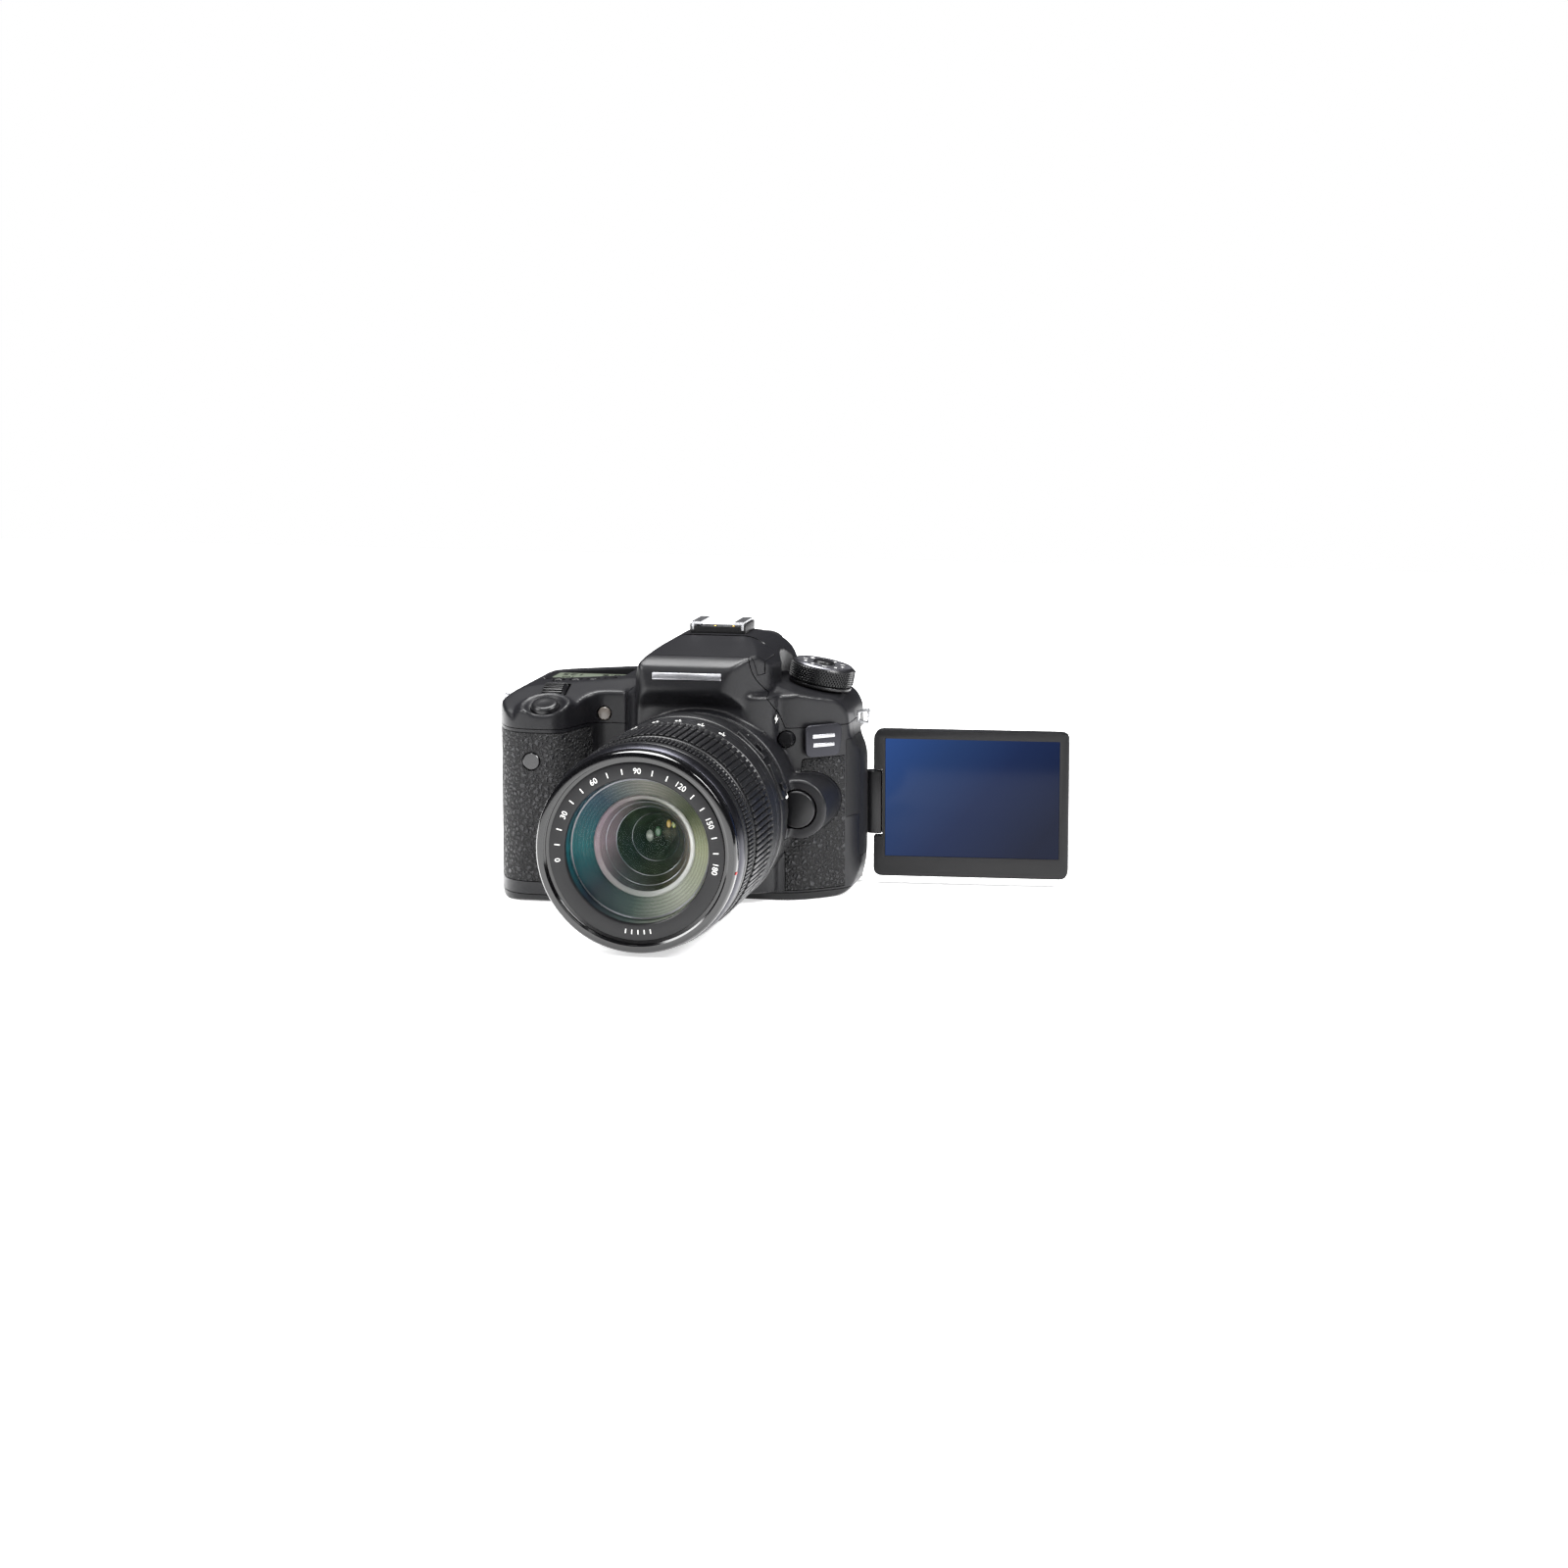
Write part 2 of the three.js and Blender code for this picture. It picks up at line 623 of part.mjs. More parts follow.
const dial = dialParts();
const shutter = shutterParts();
const mainDial = mainDialParts();
const quick = quickDialParts();
const flash = flashParts();
const release = releaseParts();
const flashButtonHole = drum("y", FLASH_BUTTON.at, FLASH_BUTTON.radius + GAP, -FAR, -20, 20);
const lampHole = drum("y", [-39.8, 70.6], 2.9, -FAR, -20, 20);
const sensorHole = drum("y", [-63.1, 54.6], 3.7, -FAR, -48.2, 20);
const topWindow = prism("z", [[-70, -9, 2], [-36, -9, 2], [-36, 10, 2], [-70, 10, 2]], 79, FAR);
const viewfinder = box(-11.5, 11.5, 10, FAR, 77, 92.4);
const tripod = drum("z", [0, -13], 3.2, -FAR, FAR, 20);
const doorSpaces = Object.values(DOORS).map(({ space }) => space(-0.2));

const skins = covers();
const topCuts = [
  dialSeat, shutter.pocket, mainDial.pocket, flashSpace(GAP), flashGroove, lampHole, topWindow, viewfinder,
  ...topButtons().map(([, , hole]) => hole), ...rearButtons().map(([, , hole]) => hole),
];
const rearCuts = [quick.pocket, ...rearButtons().map(([, , hole]) => hole), ...doorSpaces];
const topShell = cut(join(skins.top_cover, shutter.collar), ...topCuts);
const rearShell = cut(join(cut(skins.rear_cover, displayBay()), bayFloor()), ...rearCuts);

place(camera, "bottom_cover", cut(skins.bottom_cover, tripod, batteryDoorSpace(-GAP)),
  FINISH.shell);
place(camera, "front_cover", cut(skins.front_cover, release.pocket, flashButtonHole, sensorHole,
  flashSpace(GAP), ...doorSpaces), FINISH.shell);
place(camera, "rear_cover", rearShell, FINISH.shell);
place(camera, "top_cover", topShell, FINISH.shell);
place(camera, "grip_rubber", cut(skins.grip_rubber, sensorHole), FINISH.rubber);
place(camera, "side_rubber", cut(skins.side_rubber, ...doorSpaces), FINISH.rubber);
for (const [name, { space }] of Object.entries(DOORS)) {
  place(camera, name, common(cut(mainBlock(0), mainBlock(WALL - 0.6)), space(0)), FINISH.rubber);
}
place(camera, "battery_door", common(mainBlock(0), batteryDoorSpace(0)), FINISH.shell);
place(camera, "badge_plate", badgePlate(), FINISH.alloy);
place(camera, "hot_shoe", hotShoe(), FINISH.steel);
place(camera, "eyecup", eyecup(), FINISH.rubber);
place(camera, "eyepiece_lens", box(-11, 11, 12.4, 15, 77.5, 92), FINISH.clear);
place(camera, "top_display", prism("z", [[-69.6, -8.6, 2], [-36.4, -8.6, 2], [-36.4, 9.6, 2],
  [-69.6, 9.6, 2]], 79.3, 80.6), FINISH.glossy);
place(camera, "self_timer_lamp", drum("y", [-39.8, 70.6], 2.5, -28, -25.6, 20), FINISH.lamp);
place(camera, "remote_sensor", drum("y", [-63.1, 54.6], 3.3, -50, -48.5, 20), FINISH.glossy);
place(camera, "strap_lug_left", strapLug(-1, -82.2, 0, 70), FINISH.steel);
place(camera, "strap_lug_right", strapLug(1, 53, 3, 67.8), FINISH.steel);
place(camera, "chassis", chassis(), FINISH.alloy);
place(camera, "pentaprism", pentaprism(), FINISH.clear);
place(camera, "shutter_unit", shutterUnit(), FINISH.glossy);
place(camera, "image_sensor", box(-15, 15, 0, 2.4, 28, 49), FINISH.sensor);
place(camera, "main_board", box(-40, 48, 5, 6.6, 8, 60), FINISH.board);
place(camera, "battery", box(-74.8, -53.8, -35.4, 2.6, 3.6, 60.4), FINISH.glossy);
place(camera, "reflex_mirror", reflexMirror(), FINISH.steel);
place(camera, "mode_dial", dial.mode_dial, FINISH.alloy);
place(camera, "mode_dial_lock", dial.mode_dial_lock, FINISH.button);
place(camera, "power_switch", dial.power_switch, FINISH.button);
place(camera, "shutter_button", shutter.shutter_button, FINISH.button);
place(camera, "main_dial", mainDial.main_dial, FINISH.button);
for (const [name, body] of [...topButtons(), ...rearButtons()]) {
  place(camera, name, body, FINISH.button);
}
place(camera, "quick_dial", quick.quick_dial, FINISH.button);
place(camera, "multi_controller", quick.multi_controller, FINISH.button);
place(camera, "set_button", quick.set_button, FINISH.button);
place(camera, "flash_head", flash.flash_head, FINISH.shell);
place(camera, "flash_window", flash.flash_window, FINISH.clear);
place(camera, "flash_button", drum("y", FLASH_BUTTON.at, FLASH_BUTTON.radius, -29, -25, 20),
  FINISH.button);
place(camera, "lens_release_button", release.lens_release_button, FINISH.button);

const screen = displayParts();
const bodyMountRing = turned([
  [26.2, FLANGE_Y], [32.5, FLANGE_Y], [32.5, -41.2], [26.2, -41.2],
]);
place(lens, "body_mount_ring", bodyMountRing, FINISH.steel);
place(display, "display_hinge", screen.display_hinge, FINISH.button);
place(display, "display_housing", screen.display_housing, FINISH.shell);
place(display, "display_glass", screen.display_glass, FINISH.screen);

const LENS_LOOK = {
  lens_mount_ring: FINISH.steel, zoom_ring: FINISH.rubber, focus_ring: FINISH.rubber,
  front_barrel: FINISH.glossy, front_element: FINISH.glass, rear_element: FINISH.glass,
};
for (const [name, body] of Object.entries(lensParts())) {
  place(lens, name, body, LENS_LOOK[name] ?? FINISH.barrel);
}

export default camera;
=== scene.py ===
"""The looks of a digital single-lens reflex camera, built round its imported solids.

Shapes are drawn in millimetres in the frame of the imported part: the origin is under the lens axis
at the sensor plane, +Z is up, -Y points at the subject and +X is the side that carries the
display. Solid.piece turns a finished shape into metres and makes it ride on its body.
"""

from __future__ import annotations

import json
import logging
import math
from collections.abc import Iterable, Sequence
from dataclasses import dataclass
from enum import Enum

import bmesh
import bpy
from mathutils import Matrix, Vector

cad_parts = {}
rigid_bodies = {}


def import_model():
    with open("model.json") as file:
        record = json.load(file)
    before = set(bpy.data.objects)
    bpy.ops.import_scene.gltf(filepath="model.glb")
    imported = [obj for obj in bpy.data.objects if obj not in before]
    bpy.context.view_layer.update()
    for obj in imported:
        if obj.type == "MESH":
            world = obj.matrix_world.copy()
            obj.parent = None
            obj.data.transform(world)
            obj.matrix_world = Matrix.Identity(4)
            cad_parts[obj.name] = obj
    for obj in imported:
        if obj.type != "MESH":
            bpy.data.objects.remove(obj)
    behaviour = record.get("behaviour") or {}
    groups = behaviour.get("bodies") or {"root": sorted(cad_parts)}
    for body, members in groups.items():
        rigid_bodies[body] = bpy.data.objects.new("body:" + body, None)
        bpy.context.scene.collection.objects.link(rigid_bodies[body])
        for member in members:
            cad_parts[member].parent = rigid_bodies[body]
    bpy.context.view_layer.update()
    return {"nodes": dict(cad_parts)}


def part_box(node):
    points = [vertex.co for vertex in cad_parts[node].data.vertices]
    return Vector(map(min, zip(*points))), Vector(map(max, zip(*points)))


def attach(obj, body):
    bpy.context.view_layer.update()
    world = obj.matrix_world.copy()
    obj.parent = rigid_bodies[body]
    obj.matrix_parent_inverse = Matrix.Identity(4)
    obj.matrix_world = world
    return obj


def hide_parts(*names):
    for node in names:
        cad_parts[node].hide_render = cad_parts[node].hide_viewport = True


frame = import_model()

LOG = logging.getLogger("camera")
MM = 0.001  # metres in a millimetre
FAR = 200.0  # longer than anything it cuts
GAP = 0.3  # width of a parting line

LENS_Z = 38.5  # height of the lens axis
SEAM_Z = 67.0  # joint between the top cover and the covers below it
SPLIT_Y = -4.0  # joint between the front and rear covers
BASE_Z = 2.9  # height of the base plate's joint

Corner = tuple[float, float, float]
Profile = Sequence[tuple[float, float]]


# ---------------------------------------------------------------- finishes


def linear(hex_colour: str) -> tuple[float, float, float, float]:
    """Turns an sRGB hex colour into linear RGBA.

    Args:
        hex_colour: six hex digits, with or without a leading #.

    Returns:
        The colour as four linear numbers.
    """
    digits = hex_colour.lstrip("#")
    channels = [int(digits[i : i + 2], 16) / 255 for i in (0, 2, 4)]
    values = [c / 12.92 if c <= 0.04045 else ((c + 0.055) / 1.055) ** 2.4 for c in channels]
    return (values[0], values[1], values[2], 1.0)


def add_node(tree: bpy.types.NodeTree, kind: str, values: dict | None = None, **options) -> bpy.types.Node:
    """Adds a shader node, sets its options and its inputs, and links inputs given as sockets.

    Args:
        tree: the material's node tree.
        kind: the node's type, without the leading ShaderNode.
        values: input name or index to a value or to the socket that feeds it.
        **options: attributes of the node itself.

    Returns:
        The new node.
    """
    node = tree.nodes.new("ShaderNode" + kind)
    for name, value in options.items():
        setattr(node, name, value)
    for name, value in (values or {}).items():
        if isinstance(value, bpy.types.NodeSocket):
            tree.links.new(value, node.inputs[name])
        else:
            node.inputs[name].default_value = value
    return node


def ramp(node: bpy.types.Node, stops: Sequence[tuple[float, str]]) -> None:
    """Sets the stops of a Color Ramp node.

    Args:
        node: the Color Ramp node.
        stops: position and hex colour of each stop, in order.
    """
    elements = node.color_ramp.elements
    while len(elements) < len(stops):
        elements.new(1.0)
    for element, (position, colour) in zip(elements, stops, strict=True):
        element.position = position
        element.color = linear(colour)


@dataclass(frozen=True)
class Finish:
    """A surface: what it is made of and how it was made."""

    name: str
    colour: str
    roughness: float
    metallic: float = 0.0
    ior: float = 1.5
    coat: float = 0.0

    def material(self) -> bpy.types.Material:
        """Returns this finish's material, made the first time it is asked for."""
        found = bpy.data.materials.get(self.name)
        if found:
            return found
        made = bpy.data.materials.new(self.name)
        made.use_nodes = True
        tree = made.node_tree
        shader = tree.nodes["Principled BSDF"]
        shader.inputs["Base Color"].default_value = linear(self.colour)
        shader.inputs["Roughness"].default_value = self.roughness
        shader.inputs["Metallic"].default_value = self.metallic
        shader.inputs["Coat Weight"].default_value = self.coat
        shader.inputs["Coat Roughness"].default_value = 0.08
        if self.metallic < 0.5:
            shader.inputs["IOR"].default_value = self.ior
        self.detail(tree, shader)
        return made

    def detail(self, tree: bpy.types.NodeTree, shader: bpy.types.Node) -> None:
        """Adds the pattern of the surface; a plain finish gets faint handling marks."""
        place = add_node(tree, "TexCoord").outputs["Object"]
        smears = add_node(tree, "TexNoise", {"Vector": place, "Scale": 1 / (9 * MM), "Detail": 3.0})
        spread = add_node(tree, "MapRange", {
            "Value": smears.outputs["Fac"], "To Min": self.roughness * 0.88,
            "To Max": min(1.0, self.roughness * 1.14)})
        tree.links.new(spread.outputs["Result"], shader.inputs["Roughness"])


@dataclass(frozen=True)
class MouldedPlastic(Finish):
    """Glass-filled polycarbonate, moulded in a spark-eroded tool: a fine, even sparkle."""

    grain: float = 0.45  # mm; real grit is nearer 0.1, drawn coarser so that it shows
    depth: float = 0.05  # mm

    def detail(self, tree: bpy.types.NodeTree, shader: bpy.types.Node) -> None:
        """Adds the fine grain, which roughens the highlights, and a slow change of sheen."""
        place = add_node(tree, "TexCoord").outputs["Object"]
        grit = add_node(tree, "TexNoise", {
            "Vector": place, "Scale": 1 / (self.grain * MM), "Detail": 2.0, "Roughness": 0.6})
        slow = add_node(tree, "TexNoise", {"Vector": place, "Scale": 1 / (22 * MM), "Detail": 2.0})
        sheen = add_node(tree, "MapRange", {
            "Value": slow.outputs["Fac"], "To Min": self.roughness - 0.05,
            "To Max": self.roughness + 0.06})
        tree.links.new(sheen.outputs["Result"], shader.inputs["Roughness"])
        dark, light = linear(self.colour), linear(self.colour)
        tone = add_node(tree, "Mix", {
            0: grit.outputs["Fac"], 6: tuple(c * 0.75 for c in dark[:3]) + (1.0,),
            7: tuple(min(1.0, c * 1.3) for c in light[:3]) + (1.0,)}, data_type="RGBA")
        tree.links.new(tone.outputs[2], shader.inputs["Base Color"])
        bump = add_node(tree, "Bump", {
            "Height": grit.outputs["Fac"], "Distance": self.depth * MM, "Strength": 0.6})
        tree.links.new(bump.outputs["Normal"], shader.inputs["Normal"])


@dataclass(frozen=True)
class PebbledRubber(Finish):
    """Synthetic rubber pressed with a leather grain: rounded pebbles with creases between."""

    pebble: float = 1.9  # mm; real pebbles are nearer 1.3, drawn coarser so that they show
    depth: float = 0.6  # mm

    def detail(self, tree: bpy.types.NodeTree, shader: bpy.types.Node) -> None:
        """Adds uneven pebbles whose tops are worn smoother than the creases, and painted shade that
        darkens the creases below the lighter pebble tops.
        """
        place = add_node(tree, "TexCoord").outputs["Object"]
        wander = add_node(tree, "TexNoise", {"Vector": place, "Scale": 1 / (1.8 * MM), "Detail": 1.0})
        offset = add_node(tree, "VectorMath", {
            0: wander.outputs["Color"], 1: (2.2 * MM, 2.2 * MM, 2.2 * MM)}, operation="MULTIPLY")
        bent = add_node(tree, "VectorMath", {0: place, 1: offset.outputs[0]}, operation="ADD")
        cells = add_node(tree, "TexVoronoi", {
            "Vector": bent.outputs[0], "Scale": 1 / (self.pebble * MM), "Randomness": 0.95},
            feature="DISTANCE_TO_EDGE")
        crown = add_node(tree, "MapRange", {
            "Value": cells.outputs["Distance"], "From Min": 0.0, "From Max": 0.4},
            interpolation_type="SMOOTHSTEP")
        # painted shade: the colour runs from near black in the creases to the rubber's colour on the
        # pebble tops
        colour = add_node(tree, "ValToRGB", {"Fac": crown.outputs["Result"]})
        ramp(colour, ((0.0, "#040405"), (1.0, self.colour)))
        wear = add_node(tree, "MapRange", {
            "Value": crown.outputs["Result"], "To Min": 0.8, "To Max": self.roughness})
        tree.links.new(colour.outputs["Color"], shader.inputs["Base Color"])
        tree.links.new(wear.outputs["Result"], shader.inputs["Roughness"])
        bump = add_node(tree, "Bump", {
            "Height": crown.outputs["Result"], "Distance": self.depth * MM, "Strength": 1.0})
        tree.links.new(bump.outputs["Normal"], shader.inputs["Normal"])


@dataclass(frozen=True)
class BrushedMetal(Finish):
    """Metal finished by fine abrasive lines, which stretch its highlights along one axis."""

    stretch: tuple[float, float, float] = (1.0, 1.0, 12.0)

    def detail(self, tree: bpy.types.NodeTree, shader: bpy.types.Node) -> None:
        """Adds the abrasive lines as noise squeezed along the brushing."""
        place = add_node(tree, "TexCoord").outputs["Object"]
        squeezed = add_node(tree, "Mapping", {"Vector": place, "Scale": self.stretch})
        lines = add_node(tree, "TexNoise", {
            "Vector": squeezed.outputs["Vector"], "Scale": 1 / (3 * MM), "Detail": 3.0})
        rough = add_node(tree, "MapRange", {
            "Value": lines.outputs["Fac"], "To Min": self.roughness * 0.7,
            "To Max": self.roughness * 1.4})
        tree.links.new(rough.outputs["Result"], shader.inputs["Roughness"])
        bump = add_node(tree, "Bump", {
            "Height": lines.outputs["Fac"], "Distance": 0.02 * MM, "Strength": 0.3})
        tree.links.new(bump.outputs["Normal"], shader.inputs["Normal"])


@dataclass(frozen=True)
class AroundLens(Finish):
    """Blackened or coated surfaces deep in a lens, with painted light: their colour changes round the lens
    axis to paint the coloured reflection that each coating throws back on each side, and painted shade
    rings them in fine steps."""

    stops: tuple[tuple[float, str], ...] = ()
    ring: float = 0.9  # mm between the fine steps

    def detail(self, tree: bpy.types.NodeTree, shader: bpy.types.Node) -> None:
        """Adds painted reflections, as colours picked by the angle round the lens axis, and painted shade
        in fine steps along it.
        """
        place = add_node(tree, "TexCoord").outputs["Object"]
        axes = add_node(tree, "SeparateXYZ", {"Vector": place})
        up = add_node(tree, "Math", {0: axes.outputs["Z"], 1: LENS_Z * MM}, operation="SUBTRACT")
        angle = add_node(tree, "Math", {0: up.outputs[0], 1: axes.outputs["X"]}, operation="ARCTAN2")
        turn = add_node(tree, "MapRange", {
            "Value": angle.outputs[0], "From Min": -math.pi, "From Max": math.pi})
        # painted reflections: the colour is picked by the angle round the lens axis
        colour = add_node(tree, "ValToRGB", {"Fac": turn.outputs["Result"]})
        ramp(colour, self.stops)
        # painted shade: the colour darkens in fine bands along the axis, as steps would shade it
        steps = add_node(tree, "Math", {
            0: axes.outputs["Y"], 1: 2 * math.pi / (self.ring * MM)}, operation="MULTIPLY")
        wave = add_node(tree, "Math", {0: steps.outputs[0]}, operation="SINE")
        shade = add_node(tree, "MapRange", {
            "Value": wave.outputs[0], "From Min": -1.0, "To Min": 0.72, "To Max": 1.0})
        reflection_and_shade = add_node(tree, "VectorMath", {
            0: colour.outputs["Color"], "Scale": shade.outputs["Result"]}, operation="SCALE")
        tree.links.new(reflection_and_shade.outputs[0], shader.inputs["Base Color"])


@dataclass(frozen=True)
class CoatedGlass(Finish):
    """Ground optical glass with an anti-reflection coating: mostly clear, with a tinted gleam."""

    opacity: float = 0.12

    def detail(self, tree: bpy.types.NodeTree, shader: bpy.types.Node) -> None:
        """Makes the glass let most light through and varies its coating slightly."""
        shader.inputs["Alpha"].default_value = self.opacity
        place = add_node(tree, "TexCoord").outputs["Object"]
        film = add_node(tree, "TexNoise", {"Vector": place, "Scale": 1 / (30 * MM), "Detail": 1.0})
        tone = add_node(tree, "ValToRGB", {"Fac": film.outputs["Fac"]})
        ramp(tone, ((0.3, self.colour), (0.7, "#4c5a3c")))
        tree.links.new(tone.outputs["Color"], shader.inputs["Base Color"])


@dataclass(frozen=True)
class LitScreen(Finish):
    """A liquid-crystal display behind glass, lit: a blue field that fades across its width."""

    def detail(self, tree: bpy.types.NodeTree, shader: bpy.types.Node) -> None:
        """Adds the fade from the upper inner corner to the far lower corner."""
        place = add_node(tree, "TexCoord").outputs["Object"]
        low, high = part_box("display_glass")
        size = high - low
        turned_field = add_node(tree, "VectorMath", {
            0: place, 1: (-low.x, -low.y, -high.z)}, operation="ADD")
        share = add_node(tree, "VectorMath", {
            0: turned_field.outputs[0],
            1: (0.72 / size.x, 0.0, -0.42 / size.z)}, operation="DOT_PRODUCT")
        colour = add_node(tree, "ValToRGB", {"Fac": share.outputs["Value"]})
        ramp(colour, ((0.0, "#31518f"), (0.3, "#28406f"), (0.6, "#1d2c53"), (1.0, "#121933")))
        tree.links.new(colour.outputs["Color"], shader.inputs["Emission Color"])
        shader.inputs["Emission Strength"].default_value = 0.9


@dataclass(frozen=True)
class PrintedBoard(Finish):
    """Glass-fibre board under green solder mask, with tinned pads on a 1.27 mm grid."""

    pitch: float = 2.54  # mm

    def detail(self, tree: bpy.types.NodeTree, shader: bpy.types.Node) -> None:
        """Adds the pads and tracks as cells of a brick pattern."""
        place = add_node(tree, "TexCoord").outputs["Object"]
        flat = add_node(tree, "Mapping", {
            "Vector": place, "Rotation": (math.radians(90), 0.0, 0.0)})
        cells = add_node(tree, "TexBrick", {
            "Vector": flat.outputs["Vector"], "Scale": 1 / (self.pitch * 4 * MM),
            "Color1": linear(self.colour), "Color2": linear("#14512b"),
            "Mortar": linear("#b8b48a"), "Mortar Size": 0.015})
        tree.links.new(cells.outputs["Color"], shader.inputs["Base Color"])


# Glass-filled polycarbonate from a textured mould: near black, with a soft wide sheen.
PLASTIC = MouldedPlastic("moulded_polycarbonate", "#111114", 0.38, ior=1.4)
# The same resin from a smoother mould: darker, with slightly tighter lights.
PLASTIC_DARK = MouldedPlastic("moulded_polycarbonate_black", "#0c0c0e", 0.36, ior=1.4, depth=0.03)
# The display's frame: matt enough that the screen stands out from it.
BEZEL = MouldedPlastic("display_bezel_plastic", "#0e0e10", 0.42, ior=1.36, depth=0.03)
# ABS keys and dials, worn smooth by fingers: a clear narrow sheen on each edge.
CONTROL = MouldedPlastic("satin_abs_keys", "#0e0e10", 0.31, ior=1.42, grain=0.6, depth=0.02)
# Rubber sheet pressed with a leather grain: each pebble catches its own small light, and painted shade
# darkens the creases between them.
LEATHERETTE = PebbledRubber("pebbled_rubber", "#18181c", 0.3, ior=1.48)
# Soft rubber of covers and eyecup: it swallows light and hardly shines.
SOFT_RUBBER = MouldedPlastic("moulded_rubber", "#0f0f11", 0.55, ior=1.38, grain=0.7, depth=0.04)
# Firm rubber of the grip rings: dull faces, with a line of light on each rib.
RING_RUBBER = MouldedPlastic("ribbed_ring_rubber", "#101012", 0.36, ior=1.42, grain=0.5, depth=0.02)
# Fine-textured barrel: long soft lights run down the cylinder.
BARREL = MouldedPlastic("lens_barrel_polycarbonate", "#0f0f11", 0.34, ior=1.38, depth=0.03)
# Polished black plastic: almost no colour of its own, only sharp reflections.
GLOSS = Finish("polished_black_acrylic", "#050506", 0.12, coat=0.3)
# Pad-printed white: flat, opaque and slightly warm.
INK_WHITE = Finish("printed_white", "#e6e6e3", 0.5)
# Pad-printed red: flat and opaque.
INK_RED = Finish("printed_red", "#a01518", 0.45)
# Pad-printed grey: quieter than the white signs beside it.
INK_GREY = Finish("printed_grey", "#8d8d90", 0.5)
# Brushed stainless steel: bright, with lights drawn out along the brushing.
STEEL = BrushedMetal("stainless_steel", "#c9cacd", 0.26, metallic=1.0)
# Anodised ring: a soft metallic band between black neighbours.
SATIN_BAND = BrushedMetal("anodised_bright_band", "#6d6d72", 0.3, metallic=1.0)
# Dark anodised ring: metallic only where it faces a light.
RIM_BAND = BrushedMetal("anodised_dark_band", "#3c3c42", 0.3, metallic=1.0)
# Nickel inlay: pale, with its brushing across the strip.
SILVER_INLAY = BrushedMetal("nickel_inlay", "#b2b2b6", 0.3, metallic=1.0, stretch=(1.0, 1.0, 6.0))
# Brushed dark alloy of the badge: a grey gleam in the black cover.
BADGE = BrushedMetal("brushed_badge_alloy", "#2a2a2f", 0.34, metallic=0.7)
# Dial top turned on a lathe: its lights fan out from the middle.
DIAL_TOP = BrushedMetal("spun_dial_alloy", "#77777c", 0.34, metallic=0.9)
# Cast magnesium: grey, grainy and dull, as it is left inside a body.
CAST = BrushedMetal("cast_magnesium", "#6e7073", 0.5, metallic=0.9, stretch=(2.0, 2.0, 2.0))
# Gold flash on contacts: warm and clean.
GOLD = BrushedMetal("gold_plate", "#c9a14a", 0.3, metallic=1.0)
# Clear window: seen by its edges and its reflections.
CLEAR = CoatedGlass("clear_window_glass", "#9fb0b4", 0.05, opacity=0.35)
# Frosted flash window: milky, with a thin glossy skin.
FLASH_LENS = Finish("frosted_flash_lens", "#cdd1d2", 0.35, coat=0.3)
# Multi-coated front element: nearly unseen but for a green-blue cast.
FRONT_GLASS = CoatedGlass("coated_front_glass", "#1c4650", 0.02, ior=1.3, opacity=0.06)
# Optical glass block: cool, clear and heavy-looking.
PRISM_GLASS = CoatedGlass("prism_glass", "#b9c4c6", 0.08, opacity=0.6)
# Coated rear element: darker, because the barrel lies behind it.
REAR_GLASS = CoatedGlass("coated_rear_glass", "#3b5f66", 0.05, opacity=0.7)
# Filter over the sensor: glossy, with a green-blue cast.
SENSOR_GLASS = Finish("sensor_filter_glass", "#2d6f6b", 0.08, coat=0.6)
# Front-silvered mirror: a plain sharp reflection.
MIRROR_COAT = Finish("front_silvering", "#e3e5e8", 0.03, metallic=1.0)
# Circuit board: solder mask green, with tinned pads.
BOARD = PrintedBoard("printed_circuit_board", "#1b6a37", 0.5)
# Lit display: its own deep blue light under smooth glass.
SCREEN = LitScreen("lit_display", "#05070c", 0.12, ior=1.16)
# Reflective liquid crystal: grey-green, lit only from outside.
TOP_SCREEN = Finish("reflective_lcd", "#6d7566", 0.25, coat=0.6)
# Frosted lamp window: a dull warm grey while unlit.
LAMP_WINDOW = Finish("frosted_lamp_window", "#6f6861", 0.3, coat=0.3)
# Infrared window: looks black, with a smooth face.
SENSOR_WINDOW = Finish("infrared_window", "#141416", 0.22, coat=0.3)
# Shrink wrap of the cells: dark, with a slight plastic sheen.
BATTERY_SKIN = Finish("battery_shrink_wrap", "#26282c", 0.35)


# ---------------------------------------------------------------- shapes


class Axis(Enum):
    """The direction that a prism is stretched in; its outline is in the two others."""

    X = 0
    Y = 1
    Z = 2

    def point(self, a: float, b: float, along: float) -> Vector:
        """Returns the point at a, b on the outline's plane and along this axis."""
        values = [a, b]
        values.insert(self.value, along)
        return Vector(values)


